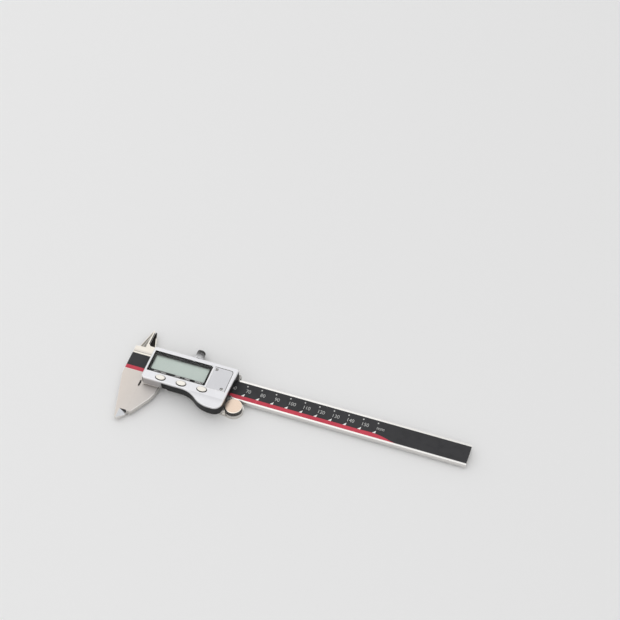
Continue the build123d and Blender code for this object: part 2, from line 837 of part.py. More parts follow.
# ---------------------------------------------------------------- inner case
with BuildPart() as inner_case:
    # Walls and floor
    with BuildSketch(datum.offset(frame_front)):
        add(housing_outline.sketch)
        offset(amount=-case_gap)
    extrude(amount=case_height)
    # Skirt of the thumb rest, down to the frame's lobe
    with BuildSketch(datum.offset(beam_front)):
        add(housing_outline.sketch)
        offset(amount=-case_gap)
        with Locations((skirt_left, -lower_rail - slide_gap)):
            Rectangle(
                cover_right, 2 * rest_reach, align=(Align.MIN, Align.MAX), mode=Mode.INTERSECT
            )
    extrude(amount=frame_front - beam_front)
    # Inside, above the floor
    with BuildSketch(datum.offset(board_back)):
        add(housing_outline.sketch)
        offset(amount=-case_gap - case_wall)
    extrude(amount=case_height, mode=Mode.SUBTRACT)
    # Room for the cover's apron over the moving jaw, and for the thumb wheel
    with BuildSketch(datum.offset(frame_front)):
        with Locations((0, -cover_bottom)):
            Rectangle(
                apron_right + case_gap, case_wall + 2 * case_gap, align=corner
            )
    extrude(amount=case_height, mode=Mode.SUBTRACT)
    with BuildSketch(datum.offset(beam_front)):
        with Locations((wheel_x, wheel_y)):
            Circle(wheel_radius + wheel_room)
    extrude(amount=wheel_front + wheel_room - beam_front, mode=Mode.SUBTRACT)
    # Opening over the sensor plate's headers
    with BuildSketch(datum.offset(frame_front)):
        with Locations((view_left + view_width / 2, beam_width / 2)):
            Rectangle(
                view_width - header_width, beam_width - 2 * lip_reach - 2 * sensor_side_gap
            )
    extrude(amount=case_floor, mode=Mode.SUBTRACT)
    # Pocket of the battery and its contact
    with BuildSketch(datum.offset(cell_back - contact_thickness)):
        with Locations((cell_x, cell_y)):
            Circle(cell_radius + cell_room)
    extrude(amount=cell_height, mode=Mode.SUBTRACT)
    # Posts of the cover's screws and of the battery lid's screws
    for x, y in cover_screws_at:
        with BuildSketch(datum.offset(board_back)):
            with Locations((x, y)):
                Circle(case_post_radius)
        extrude(amount=case_top - board_back)
    for x, y in lid_screws:
        with BuildSketch(datum.offset(board_back)):
            with Locations((x, y)):
                Circle(lid_post_radius)
        extrude(amount=case_top - board_back)
    with Locations(*[datum.from_local_coords((x, y, beam_front)) for x, y in cover_screws_at]):
        Cylinder(
            cover_screw_radius + press_gap, case_top, align=middle_bottom, mode=Mode.SUBTRACT
        )
    with Locations(*[datum.from_local_coords((x, y, board_front)) for x, y in lid_screws]):
        Cylinder(
            lid_screw_radius + press_gap, case_top, align=middle_bottom, mode=Mode.SUBTRACT
        )
    with Locations(*[datum.from_local_coords((x, y, frame_front)) for x, y in board_screws_at]):
        Cylinder(
            board_screw_radius + press_gap, case_floor, align=middle_bottom, mode=Mode.SUBTRACT
        )
write(inner_case.part, "inner_case")

# ---------------------------------------------------------------- front cover
with BuildPart() as front_cover:
    with BuildSketch(datum.offset(case_top)):
        add(housing_outline.sketch)
    extrude(amount=cover_rim + cover_plate)
    chamfer(front_cover.faces().sort_by(Axis.Z)[-1].edges(), length=cover_bevel)
    with BuildSketch(datum.offset(case_top)):
        add(housing_outline.sketch)
        offset(amount=-cover_rim_wall)
    extrude(amount=cover_rim, mode=Mode.SUBTRACT)
    # Hollow of the thumb rest
    with BuildSketch(section_plane(rest_start + dish_lead)):
        with Locations((-dish_drop, cover_front - dish_depth + dish_radius)):
            Circle(dish_radius)
    extrude(amount=cover_right, mode=Mode.SUBTRACT)
    # Apron over the moving jaw's root
    with BuildSketch(datum.offset(frame_front + slide_gap)):
        with Locations((cover_left + cover_cut, -cover_bottom)):
            Rectangle(
                apron_right - cover_left - cover_cut, case_wall, align=corner
            )
    extrude(amount=case_height)
    # Window
    with BuildSketch(datum.offset(plate_back)):
        with Locations((window_left, -window_bottom)):
            window = Rectangle(window_width, window_height, align=corner)
        fillet(window.vertices(), radius=window_corner)
    extrude(amount=cover_plate, mode=Mode.SUBTRACT)
    # Buttons' holes with a bevelled rim
    for x in button_x:
        with BuildSketch(datum.offset(plate_back)):
            with Locations((x, button_y)):
                Ellipse(button_half_length + button_gap, button_half_width + button_gap)
        extrude(amount=cover_plate, mode=Mode.SUBTRACT)
    chamfer(
        front_cover.edges().filter_by(GeomType.ELLIPSE).group_by(Axis.Z)[-1], length=button_rim
    )
    # Seat of the battery lid
    with BuildSketch(datum.offset(lid_back)):
        with Locations((lid_left - lid_gap, -lid_bottom - lid_gap)):
            seat = Rectangle(
                lid_width + lid_gap + lid_slack, lid_height + lid_gap + lid_slack, align=corner
            )
        seat_corners = seat.vertices().group_by(Axis.X)
        fillet(seat_corners[-1].sort_by(Axis.Y)[-1], radius=lid_corner)
        chamfer(seat_corners[0].sort_by(Axis.Y)[0], length=lid_cut)
    extrude(amount=cover_plate, mode=Mode.SUBTRACT)
    with Locations(datum.from_local_coords((cell_x, cell_y, case_top))):
        Cylinder(
            cell_radius + cell_room, cover_plate + cover_rim, align=middle_bottom, mode=Mode.SUBTRACT
        )
    with Locations(*[datum.from_local_coords((x, y, case_top)) for x, y in lid_screws]):
        Cylinder(
            lid_screw_radius + press_gap, cover_plate, align=middle_bottom, mode=Mode.SUBTRACT
        )
    with Locations(*[datum.from_local_coords((x, y, case_top)) for x, y in cover_screws_at]):
        Cylinder(
            cover_screw_radius + press_gap,
            cover_rim + cover_plate - cover_screw_end,
            align=middle_bottom,
            mode=Mode.SUBTRACT,
        )
write(front_cover.part, "front_cover")
write(
    flat_head_screws(
        datum,
        cover_screws_at,
        cover_screw_head,
        cover_screw_radius,
        cover_front - cover_screw_end - screw_sink,
    ),
    "cover_screws",
)

# ---------------------------------------------------------------- buttons and their switches
for name, x in zip(button_names, button_x):
    with BuildPart() as button:
        with BuildSketch(datum.offset(flange_front)):
            with Locations((x, button_y)):
                Ellipse(button_half_length, button_half_width)
        extrude(amount=button_front - flange_front)
        fillet(button.edges().group_by(Axis.Z)[-1], radius=button_dome)
        with BuildSketch(datum.offset(flange_back)):
            with Locations((x, button_y)):
                Ellipse(button_half_length + button_flange, button_half_width)
        extrude(amount=button_flange_height)
        with BuildSketch(datum.offset(button_end)):
            with Locations((x, button_y)):
                Circle(button_stem_radius)
        extrude(amount=flange_back - button_end)
    write(button.part, name)

with BuildPart() as button_switches:
    for x in button_x:
        with BuildSketch(datum.offset(board_front)):
            with Locations((x, button_y)):
                Rectangle(switch_size, switch_size)
        extrude(amount=switch_height)
        with BuildSketch(datum.offset(board_front)):
            with Locations((x, button_y)):
                Circle(switch_plunger_radius)
        extrude(amount=switch_plunger)
write(button_switches.part, "button_switches")

# ---------------------------------------------------------------- circuit board and what is on it
with BuildPart() as circuit_board:
    with BuildSketch(datum.offset(board_back)):
        add(housing_outline.sketch)
        offset(amount=-case_gap - case_wall - board_gap)
        with Locations((cell_x, cell_y)):
            Circle(cell_radius + cell_room, mode=Mode.SUBTRACT)
        with Locations(*cover_screws_at):
            Circle(case_post_radius + board_gap, mode=Mode.SUBTRACT)
        with Locations(*lid_screws):
            Circle(lid_post_radius + board_gap, mode=Mode.SUBTRACT)
        with Locations(*board_screws_at):
            Circle(board_screw_radius + press_gap, mode=Mode.SUBTRACT)
    extrude(amount=board_thickness)
write(circuit_board.part, "circuit_board")

with BuildPart() as board_screws:
    with BuildSketch(datum.offset(frame_front - board_screw_length + screw_sink)):
        with Locations(*board_screws_at):
            Circle(board_screw_radius)
    extrude(amount=board_screw_length - screw_sink + case_floor + board_thickness)
    with BuildSketch(datum.offset(board_front)):
        with Locations(*board_screws_at):
            Circle(board_screw_head)
    extrude(amount=board_screw_head_height)
write(board_screws.part, "board_screws")

with BuildPart() as measuring_chip:
    with BuildSketch(datum.offset(board_front)):
        with Locations((view_left + view_width / 2, panel_y)):
            chip = Rectangle(chip_size, chip_size)
        chamfer(chip.vertices(), length=chip_corner)
    extrude(amount=chip_height)
write(measuring_chip.part, "measuring_chip")

sensor_back = beam_front + sensor_float
with BuildPart() as sensor_plate:
    with BuildSketch(datum.offset(sensor_back)):
        with Locations((wiper_inset + wiper_length + sensor_side_gap, beam_width / 2)):
            Rectangle(
                slider_length - 2 * (wiper_inset + wiper_length + sensor_side_gap),
                beam_width - 2 * lip_reach - 2 * sensor_side_gap,
                align=(Align.MIN, Align.CENTER),
            )
    extrude(amount=sensor_height)
    with BuildSketch(datum.offset(sensor_back)):
        for x in (view_left + header_inset, view_left + view_width - header_inset):
            with Locations((x, beam_width / 2)):
                Rectangle(header_width, header_length)
    extrude(amount=board_back - sensor_back)
write(sensor_plate.part, "sensor_plate")

with BuildPart() as dust_wipers:
    with BuildSketch(datum.offset(beam_front + slide_gap)):
        for x in (wiper_inset, slider_length - wiper_inset - wiper_length):
            with Locations((x, beam_width / 2)):
                Rectangle(
                    wiper_length,
                    beam_width - 2 * lip_reach - 2 * strip_gap,
                    align=(Align.MIN, Align.CENTER),
                )
    extrude(amount=lip_thickness)
write(dust_wipers.part, "dust_wipers")

# ---------------------------------------------------------------- display
with BuildPart() as display_panel:
    with BuildSketch(datum.offset(panel_back)):
        with Locations((view_left + view_width / 2, panel_y)):
            Rectangle(view_width + 2 * panel_border, panel_height)
    extrude(amount=panel_thickness)
write(display_panel.part, "display_panel")

with BuildPart() as display_connectors:
    with BuildSketch(datum.offset(board_front)):
        for side in (-1, 1):
            with Locations(
                (view_left + view_width / 2, panel_y + side * (panel_height - connector_width) / 2)
            ):
                Rectangle(view_width - 2 * connector_width, connector_width)
    extrude(amount=panel_back - board_front)
write(display_connectors.part, "display_connectors")

with BuildPart() as display_bezel:
    with BuildSketch(datum.offset(bezel_back)):
        with Locations((window_left + lens_gap, -window_bottom + lens_gap)):
            bezel = Rectangle(
                window_width - 2 * lens_gap, window_height - 2 * lens_gap, align=corner
            )
        fillet(bezel.vertices(), radius=window_corner)
        with Locations((view_left, view_bottom)):
            Rectangle(view_width, view_height, align=corner, mode=Mode.SUBTRACT)
    extrude(amount=bezel_thickness)
write(display_bezel.part, "display_bezel")

with BuildPart() as display_lens:
    with BuildSketch(datum.offset(lens_back)):
        with Locations((window_left + lens_gap, -window_bottom + lens_gap)):
            lens = Rectangle(
                window_width - 2 * lens_gap, window_height - 2 * lens_gap, align=corner
            )
        fillet(lens.vertices(), radius=window_corner)
    extrude(amount=lens_thickness)
write(display_lens.part, "display_lens")

# ---------------------------------------------------------------- battery
with BuildPart() as battery_cell:
    with BuildSketch(datum.offset(cell_back)):
        with Locations((cell_x, cell_y)):
            Circle(cell_radius)
    extrude(amount=cell_height)
    chamfer(battery_cell.edges().group_by(Axis.Z)[0], length=cell_room)
write(battery_cell.part, "battery_cell")

with BuildPart() as battery_contact:
    with BuildSketch(datum.offset(cell_back - contact_thickness)):
        with Locations((cell_x, cell_y)):
            Circle(contact_radius)
            Rectangle(contact_length, contact_width)
    extrude(amount=contact_thickness)
write(battery_contact.part, "battery_contact")

with BuildPart() as battery_cover:
    with BuildSketch(datum.offset(lid_back)):
        with Locations((lid_left, -lid_bottom)):
            lid = Rectangle(lid_width, lid_height, align=corner)
        lid_corners = lid.vertices().group_by(Axis.X)
        fillet(lid_corners[-1].sort_by(Axis.Y)[-1], radius=lid_corner)
        chamfer(lid_corners[0].sort_by(Axis.Y)[0], length=lid_cut)
    extrude(amount=lid_thickness)
    with Locations(*[datum.from_local_coords((x, y, lid_back)) for x, y in lid_screws]):
        Cylinder(
            lid_screw_radius + press_gap, lid_thickness, align=middle_bottom, mode=Mode.SUBTRACT
        )
    with Locations(
        *[datum.from_local_coords((x, y, lid_front - lid_screw_head_height)) for x, y in lid_screws]
    ):
        Cylinder(
            lid_screw_head + press_gap, lid_thickness, align=middle_bottom, mode=Mode.SUBTRACT
        )
write(battery_cover.part, "battery_cover")

with BuildPart() as battery_cover_screws:
    with BuildSketch(datum.offset(lid_front - lid_screw_head_height)):
        with Locations(*lid_screws):
            Circle(lid_screw_head)
    extrude(amount=lid_screw_head_height)
    with BuildSketch(datum.offset(lid_front - lid_screw_length)):
        with Locations(*lid_screws):
            Circle(lid_screw_radius)
    extrude(amount=lid_screw_length)
write(battery_cover_screws.part, "battery_cover_screws")
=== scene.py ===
"""Looks of a digital caliper: its finishes, printed scale, knurling, screws, labels and studio."""

import json
import logging
import math
from dataclasses import dataclass, field
from enum import Enum
from functools import cached_property, partial, reduce
from typing import ClassVar, Iterable, Sequence

import bmesh
import bpy
from mathutils import Matrix, Vector


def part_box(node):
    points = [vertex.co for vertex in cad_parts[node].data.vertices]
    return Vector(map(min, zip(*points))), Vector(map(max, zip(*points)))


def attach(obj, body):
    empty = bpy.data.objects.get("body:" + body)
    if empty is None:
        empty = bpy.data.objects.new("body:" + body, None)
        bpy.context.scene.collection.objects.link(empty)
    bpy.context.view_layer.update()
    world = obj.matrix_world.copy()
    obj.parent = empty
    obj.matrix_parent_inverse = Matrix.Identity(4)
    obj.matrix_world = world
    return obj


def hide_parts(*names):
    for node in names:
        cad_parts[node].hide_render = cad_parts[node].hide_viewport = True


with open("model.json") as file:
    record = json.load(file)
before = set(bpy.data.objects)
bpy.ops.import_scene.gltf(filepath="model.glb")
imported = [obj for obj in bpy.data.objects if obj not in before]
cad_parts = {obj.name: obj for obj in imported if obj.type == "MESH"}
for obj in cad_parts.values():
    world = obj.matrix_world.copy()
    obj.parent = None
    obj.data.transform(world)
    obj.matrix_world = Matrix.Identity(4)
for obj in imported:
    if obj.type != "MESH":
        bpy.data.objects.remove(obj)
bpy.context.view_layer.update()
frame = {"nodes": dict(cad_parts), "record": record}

Colour = tuple[float, float, float]
Spot = tuple[float, float, float]
Flat = tuple[float, float]
Ring = tuple[float, ...]
Socket = bpy.types.NodeSocket
Node = bpy.types.Node
Tree = bpy.types.NodeTree
Item = bpy.types.Object
Mesh = bpy.types.Mesh
Material = bpy.types.Material
Axes = tuple[Socket, ...]
Inputs = dict[str | int, object]

MM = 0.001
BUTTONS = ("unit_button", "power_button", "zero_button")
BLACK: Colour = (0.0, 0.0, 0.0)
WHITE: Colour = (1.0, 1.0, 1.0)
GLINT: Colour = (0.95, 0.94, 0.92)
PAPER: Colour = (0.9, 0.9, 0.9)
KNURL_SMOOTH = 28.0
PIECE_SMOOTH = 35.0
log = logging.getLogger("caliper")


def srgb(red: int, green: int, blue: int) -> Colour:
    """Turn a colour as it is seen into the linear colour that a shader takes.

    Args:
        red: Red, 0 to 255.
        green: Green, 0 to 255.
        blue: Blue, 0 to 255.

    Returns:
        The linear colour.
    """
    def linear(level: int) -> float:
        """One channel."""
        share = level / 255
        return share / 12.92 if share <= 0.04045 else ((share + 0.055) / 1.055) ** 2.4
    return linear(red), linear(green), linear(blue)


# ---------------------------------------------------------------- places
@dataclass(frozen=True)
class Datum:
    """The tool's own measuring point: the jaws' plane, the beam's lower edge and the rest surface.

    Lengths that go in are in millimetres, and what comes out is in metres in the frame.
    """

    head_width: float = 14.4
    scale_border: float = 1.05

    def at(self, x: float, y: float, z: float) -> Vector:
        """Give the point in the frame for a point measured from the tool's own measuring point."""
        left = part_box("beam")[0][0] + self.head_width * MM
        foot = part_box("scale_label")[0][1] - self.scale_border * MM
        return Vector((left, foot, 0.0)) + Vector((x, y, z)) * MM

    def x(self, x: float) -> float:
        """Give a place along the beam."""
        return self.at(x, 0, 0).x

    def y(self, y: float) -> float:
        """Give a place across the beam."""
        return self.at(0, y, 0).y


DATUM = Datum()


# ---------------------------------------------------------------- shader graphs
class Graph:
    """A node tree with short ways to add nodes and join them."""

    def __init__(self, tree: Tree) -> None:
        """Empty the tree that is to be filled."""
        self.tree = tree
        tree.nodes.clear()

    def add(self, kind: str, inputs: Inputs | None = None, **settings: object) -> Node:
        """Add a node.

        Args:
            kind: The node's type, without the ShaderNode prefix.
            inputs: What its inputs get.
            **settings: Attributes of the node.

        Returns:
            The node.
        """
        node = self.tree.nodes.new(kind if kind.startswith("Node") else "ShaderNode" + kind)
        for name, value in settings.items():
            setattr(node, name, value)
        self.fill(node, inputs or {})
        return node

    def fill(self, node: Node, inputs: Inputs) -> None:
        """Link a node's inputs to sockets, or set plain values on them.

        Args:
            node: The node.
            inputs: What its inputs get.
        """
        for name, value in inputs.items():
            socket = node.inputs[name]
            if isinstance(value, Socket):
                self.tree.links.new(value, socket)
            else:
                socket.default_value = (*value, 1.0) if socket.type == "RGBA" else value

    def sum(self, operation: str, *values: object) -> Socket:
        """Give the result of a Math node's operation on sockets or numbers."""
        return self.add("Math", dict(enumerate(values)), operation=operation).outputs[0]

    def over(self, value: object, limit: float) -> Socket:
        """Mask where a value is over a limit."""
        return self.sum("GREATER_THAN", value, limit)

    def under(self, value: object, limit: float) -> Socket:
        """Mask where a value is under a limit."""
        return self.sum("LESS_THAN", value, limit)

    def near(self, value: object, middle: float, reach: float) -> Socket:
        """Mask where a value is within reach of a middle."""
        return self.sum("COMPARE", value, middle, reach)

    def both(self, *masks: object) -> Socket:
        """Join masks, as sockets or numbers, where all of them hold."""
        return reduce(partial(self.sum, "MULTIPLY"), masks)

    def either(self, *masks: object) -> Socket:
        """Join masks, as sockets or numbers, where any of them holds."""
        return reduce(partial(self.sum, "MAXIMUM"), masks)

    def outside(self, mask: Socket) -> Socket:
        """Mask where another mask doesn't hold."""
        return self.sum("SUBTRACT", 1.0, mask)

    def spread(self, value: object, low: float, high: float, bottom: float = 0.0, top: float = 1.0) -> Socket:
        """Stretch a value, clamped, so that low becomes bottom and high becomes top."""
        return self.add("MapRange", dict(enumerate((value, low, high, bottom, top)))).outputs[0]

    def blend(self, share: object, first: object, second: object) -> Socket:
        """Blend two colours, as sockets or plain ones, by the share of the second."""
        return self.add("Mix", {0: share, 6: first, 7: second}, data_type="RGBA").outputs[2]

    def tint(self, base: object, mask: Socket, strength: float, colour: object) -> Socket:
        """Blend a colour over a base where a mask holds, as strongly as its strength."""
        return self.blend(self.both(mask, strength), base, colour)

    def place(self) -> Socket:
        """Give the place on the piece itself, which moves with it."""
        return self.add("TexCoord").outputs["Object"]

    def split(self, vector: Socket) -> Axes:
        """Give a vector's X, Y and Z."""
        return tuple(self.add("SeparateXYZ", {0: vector}).outputs)

    @cached_property
    def axes(self) -> Axes:
        """The place on the piece as its X, Y and Z."""
        return self.split(self.place())

    def level(self) -> Socket:
        """Give how squarely the surface faces front or back, 0 to 1."""
        return self.sum("ABSOLUTE", self.split(self.add("TexCoord").outputs["Normal"])[2])

    def beyond(self, foot: Flat, tip: Flat) -> Socket:
        """Mask what lies to the right of a slanting line.

        Args:
            foot: The line's lower point, in the tool's own millimetres.
            tip: Its upper point.

        Returns:
            The mask.
        """
        start = DATUM.at(*foot, 0)
        slope = (tip[0] - foot[0]) / (tip[1] - foot[1])
        line = self.sum("MULTIPLY_ADD", self.axes[1], slope, start.x - start.y * slope)
        return self.over(self.axes[0], line)


# ---------------------------------------------------------------- shared effects
@dataclass(frozen=True)
class Effect:
    """A surface effect that several finishes share, as a shader node group built once."""

    name: str
    inputs: ClassVar[dict[str, str]] = {}

    def draw(self, graph: Graph, source: Sequence[Socket]) -> Inputs:
        """Draw the effect from what goes into its group, and give what comes out of it."""
        raise NotImplementedError

    @cached_property
    def group(self) -> Tree:
        """The node group, built on first use."""
        tree = bpy.data.node_groups.new(self.name, "ShaderNodeTree")
        for name, kind in self.inputs.items():
            tree.interface.new_socket(name=name, in_out="INPUT", socket_type="NodeSocket" + kind)
        graph = Graph(tree)
        made = self.draw(graph, graph.add("NodeGroupInput").outputs)
        for name in made:
            tree.interface.new_socket(name=name, in_out="OUTPUT", socket_type="NodeSocketFloat")
        graph.add("NodeGroupOutput", made)
        return tree

    def place(self, graph: Graph, inputs: Inputs) -> Sequence[Socket]:
        """Place the effect in a material's graph, and give its outputs."""
        return graph.add("Group", inputs, node_tree=self.group).outputs


@dataclass(frozen=True)
class Noise(Effect):
    """Brushed lines, grain or patches, and the part of the noise that is stretched from 0 to 1."""

    detail: float
    low: float
    high: float
    distortion: float = 0.0
    inputs: ClassVar[dict[str, str]] = {"Place": "Vector", "Stretch": "Vector"}

    def draw(self, graph: Graph, source: Sequence[Socket]) -> Inputs:
        """Draw the noise, drawn out into lines along the axis with the smallest stretch.

        Args:
            graph: The group's graph.
            source: What goes into the group.

        Returns:
            What comes out of it.
        """
        stretched = graph.add("VectorMath", {0: source["Place"], 1: source["Stretch"]}, operation="MULTIPLY")
        height = graph.add("TexNoise", {"Vector": stretched.outputs[0], "Scale": 1.0, "Detail": self.detail,
                                        "Distortion": self.distortion}).outputs[0]
        return {"Height": height, "Tone": graph.spread(height, self.low, self.high)}

    def on(self, graph: Graph, stretch: float | Colour) -> tuple[Socket, Socket]:
        """Place the noise on the piece itself.

        Args:
            graph: The material's graph.
            stretch: Features per metre, for all axes or for each.

        Returns:
            Its height and its tone, both 0 to 1.
        """
        spread = stretch if isinstance(stretch, tuple) else (stretch,) * 3
        made = self.place(graph, {"Place": graph.place(), "Stretch": spread})
        return made["Height"], made["Tone"]


@dataclass(frozen=True)
class WearAndGlint(Effect):
    """The edges, where metals get a painted highlight and handling brightens or darkens a plastic."""

    samples: int = 6
    turn: Flat = (0.995, 0.9)
    inputs: ClassVar[dict[str, str]] = {"Radius": "Float"}

    def draw(self, graph: Graph, source: Sequence[Socket]) -> Inputs:
        """Find where the rounded surface turns from the true one.

        Args:
            graph: The group's graph.
            source: What goes into the group.

        Returns:
            What comes out of it.
        """
        rounded = graph.add("Bevel", {"Radius": source["Radius"]}, samples=self.samples)
        normal = graph.add("NewGeometry").outputs["Normal"]
        turned = graph.add("VectorMath", {0: rounded.outputs[0], 1: normal}, operation="DOT_PRODUCT")
        return {"Mask": graph.spread(turned.outputs["Value"], *self.turn)}

    def on(self, graph: Graph, radius: float) -> Socket:
        """Give the mask of the edges within a radius."""
        return self.place(graph, {"Radius": radius})["Mask"]


BRUSHED = Noise("brushed_lines", 4.0, 0.32, 0.68)
GRAIN = Noise("fine_grain", 2.0, 0.3, 0.7)
SMUDGES = Noise("handling_smudges", 3.0, 0.42, 0.62, 0.6)
WEAR_AND_GLINT = WearAndGlint("edge_wear_and_glint")


class Lay(Enum):
    """Which way a metal's brushed lines run, as features per metre along X, Y and Z."""

    ALONG = (250.0, 5200.0, 5200.0)
    ACROSS = (5200.0, 250.0, 5200.0)
    UPRIGHT = (5200.0, 5200.0, 250.0)
    EVEN = (3600.0, 3600.0, 3600.0)


# ---------------------------------------------------------------- finishes
@dataclass(frozen=True)
class Look:
    """What a finish feeds its shader: plain values or sockets."""

    colour: object
    roughness: object
    height: Socket | None = None
    depth: float = 0.0
    others: dict[str, float] = field(default_factory=dict)


@dataclass(frozen=True)
class Finish:
    """A surface with one Principled shader."""

    name: str

    def look(self, graph: Graph) -> Look:
        """Say what the shader is fed, from nodes added to the graph."""
        raise NotImplementedError

    def make(self) -> Material:
        """Build the material.

        Returns:
            The material.
        """
        material = bpy.data.materials.new(self.name)
        material.use_nodes = True
        graph = Graph(material.node_tree)
        look = self.look(graph)
        inputs: Inputs = {"Base Color": look.colour, "Roughness": look.roughness, **look.others}
        if look.height is not None:
            inputs["Normal"] = graph.add("Bump", {"Distance": look.depth, "Height": look.height}).outputs[0]
        shader = graph.add("BsdfPrincipled", inputs)
        graph.add("OutputMaterial", {"Surface": shader.outputs[0]})
        return material


@dataclass(frozen=True)
class Metal(Finish):
    """A bare or plated metal with brushed lines, smudges and a painted highlight on its edges."""

    colour: Colour
    roughness: float
    lay: Lay = Lay.EVEN
    line_depth: float = 0.000004
    tone_change: float = 0.12
    edge_radius: float = 0.00025
    edge_gain: float = 0.35
    smudge_scale: ClassVar[float] = 90.0
    unevenness: ClassVar[float] = 0.05
    line: ClassVar[Colour] = (0.02, 0.02, 0.02)

    def ground(self, graph: Graph) -> tuple[object, object, object]:
        """Give the metal's colour, its roughness and the mask of where its painted edge highlight goes."""
        return self.colour, self.roughness, 1.0

    def look(self, graph: Graph) -> Look:
        """Draw the lines, smudges and the painted edge highlight over the ground.

        Args:
            graph: The material's graph.

        Returns:
            What the shader is fed.
        """
        colour, rough, glint_mask = self.ground(graph)
        height, tone = BRUSHED.on(graph, self.lay.value)
        smudge = SMUDGES.on(graph, self.smudge_scale)[1]
        # painted highlight: the edges are blended towards GLINT
        edge = graph.both(WEAR_AND_GLINT.on(graph, self.edge_radius), self.edge_gain, glint_mask)
        lined = graph.blend(edge, graph.tint(colour, tone, self.tone_change, self.line), GLINT)
        for mask in (smudge, tone):
            rough = graph.sum("MULTIPLY_ADD", mask, self.unevenness, rough)
        return Look(lined, rough, height, self.line_depth, {"Metallic": 1.0})


@dataclass(frozen=True)
class Hollow:
    """The sunk face of an inside blade, between two slanting lines, in the tool's millimetres, painted
    darker: a painted shade on the rear blade, a stippled grey on the front one.
    """

    left: tuple[Flat, Flat]
    right: tuple[Flat, Flat]
    low: float
    levels: Flat
    colour: Colour
    stipple: float = 0.0
    bright_top: float = 99.0

    def mask(self, graph: Graph) -> Socket:
        """Mask the hollow.

        Args:
            graph: The material's graph.

        Returns:
            The mask.
        """
        _, y, z = graph.axes
        short = graph.outside(graph.beyond(*self.right))
        top = graph.over(y, DATUM.y(self.bright_top))
        return graph.both(
            graph.beyond(*self.left), graph.either(short, top), graph.over(y, DATUM.y(self.low)),
            graph.over(z, self.levels[0] * MM), graph.under(z, self.levels[1] * MM))


@dataclass(frozen=True)
class JawSteel(Metal):
    """Steel that is ground bright on its edges, and blasted matt on the faces of its jaws and blades."""

    # the beam's rear blade: its sunk face is painted near black, a painted shade
    hollow: Hollow = Hollow(((-20.0, 0.0), (-20.0, 9.0)), ((-2.6, 24.2), (-6.175, 35.6)), 22.7, (2.6, 3.4),
                            srgb(38, 36, 35), bright_top=31.0)
    warm: Colour = srgb(207, 199, 192)
    cool: Colour = srgb(196, 192, 189)
    block: Colour = srgb(230, 224, 214)
    knife: Colour = srgb(208, 210, 213)
    crease_shade: Colour = srgb(58, 54, 51)
    blasted_roughness: float = 0.42
    low: float = 8.0
    high: Flat = (3.0, 15.0)
    back: float = -1.0
    right: float = 0.0
    flat: float = 0.95
    knife_level: float = 0.8
    knife_start: float = 30.7
    knife_width: float = 4.8
    knife_slack: float = 0.1
    wall_level: float = 0.3
    wall_slack: float = 0.05
    stipple_scale: float = 2200.0
    quiet: float = 0.8
    root: Flat = (-7.8, -13.0)
    root_shade: float = 0.0
    end_shade: float = 0.0
    end_reach: Flat = (1.5, 0.8)
    end_foot: float = -0.5
    end_levels: Flat = (2.0, 3.5)

    def blasted(self, graph: Graph, jaw: Socket, block: Socket) -> Socket:
        """Give the colour of the matt faces, with painted shade under the cover.

        Args:
            graph: The material's graph.
            jaw: The mask of the outside jaw.
            block: The mask of the head's block and blade.

        Returns:
            The colour.
        """
        x, y, _ = graph.axes
        drift = graph.spread(x, DATUM.x(-DATUM.head_width), DATUM.x(DATUM.head_width))
        colour = graph.blend(block, graph.blend(drift, self.warm, self.cool), self.block)
        # painted shade under the cover: darker towards the cover's edge on the outside jaw
        shade = graph.spread(y, DATUM.y(self.root[1]), DATUM.y(self.root[0]), 0.0, self.root_shade)
        return graph.blend(graph.both(shade, jaw), colour, BLACK)

    def ended(self, graph: Graph) -> Socket:
        """Mask the end that lies in the housing's shadow.

        Args:
            graph: The material's graph.

        Returns:
            The mask, as strong as its shade.
        """
        x, y, z = graph.axes
        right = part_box("front_cover")[1][0]
        return graph.both(
            graph.spread(x, *[right - reach * MM for reach in self.end_reach]),
            graph.over(y, DATUM.y(self.end_foot)),
            graph.spread(z, *[level * MM for level in self.end_levels]), self.end_shade)

    def ground(self, graph: Graph) -> tuple[object, object, object]:
        """Lay out the matt faces, the hollow, the knife edge, the painted crease shade, the painted end
        shadow and the quiet seam between the jaws.

        Args:
            graph: The material's graph.

        Returns:
            The colour, the roughness and the mask of the bright edges.
        """
        axes, level = graph.axes, graph.level()
        flat = graph.over(level, self.flat)
        jaw = graph.under(axes[1], DATUM.y(self.low))
        block = graph.both(graph.spread(axes[1], *[DATUM.y(y) for y in self.high]),
                           graph.over(axes[2], self.back * MM))
        zone = graph.both(graph.either(jaw, graph.sum("CEIL", block)),
                          graph.under(axes[0], DATUM.x(self.right)), flat)
        plane, start = DATUM.x(0.0), DATUM.y(-self.knife_start)
        across = graph.near(axes[0], plane, self.knife_width * MM)
        knife = graph.both(graph.under(axes[1], start + self.knife_slack * MM),
                           graph.over(level, self.knife_level), graph.outside(flat))
        # the wall of the knife's step, which is painted dark as shade
        wall = graph.both(graph.near(axes[1], start, self.wall_slack * MM), across,
                          graph.under(level, self.wall_level))
        stipple = graph.both(GRAIN.on(graph, self.stipple_scale)[1], self.hollow.stipple)
        base = graph.blend(zone, self.colour, self.blasted(graph, jaw, block))
        # hollow colour, knife colour, painted shade on the crease wall and painted shadow on the end under
        # the housing
        for mask, colour in (
            (graph.both(self.hollow.mask(graph), flat), graph.blend(stipple, self.hollow.colour, BLACK)),
            (knife, self.knife), (wall, self.crease_shade), (self.ended(graph), BLACK),
        ):
            base = graph.blend(mask, base, colour)
        # no painted edge highlight along the seam between the jaws, nor where the knife's step crosses them
        seam = graph.both(graph.near(axes[0], plane, self.quiet * MM), graph.over(axes[1], start))
        corner = graph.both(graph.near(axes[1], start, self.quiet * MM), across)
        rough = graph.spread(zone, 0.0, 1.0, self.roughness, self.blasted_roughness)
        return base, rough, graph.outside(graph.either(seam, corner))


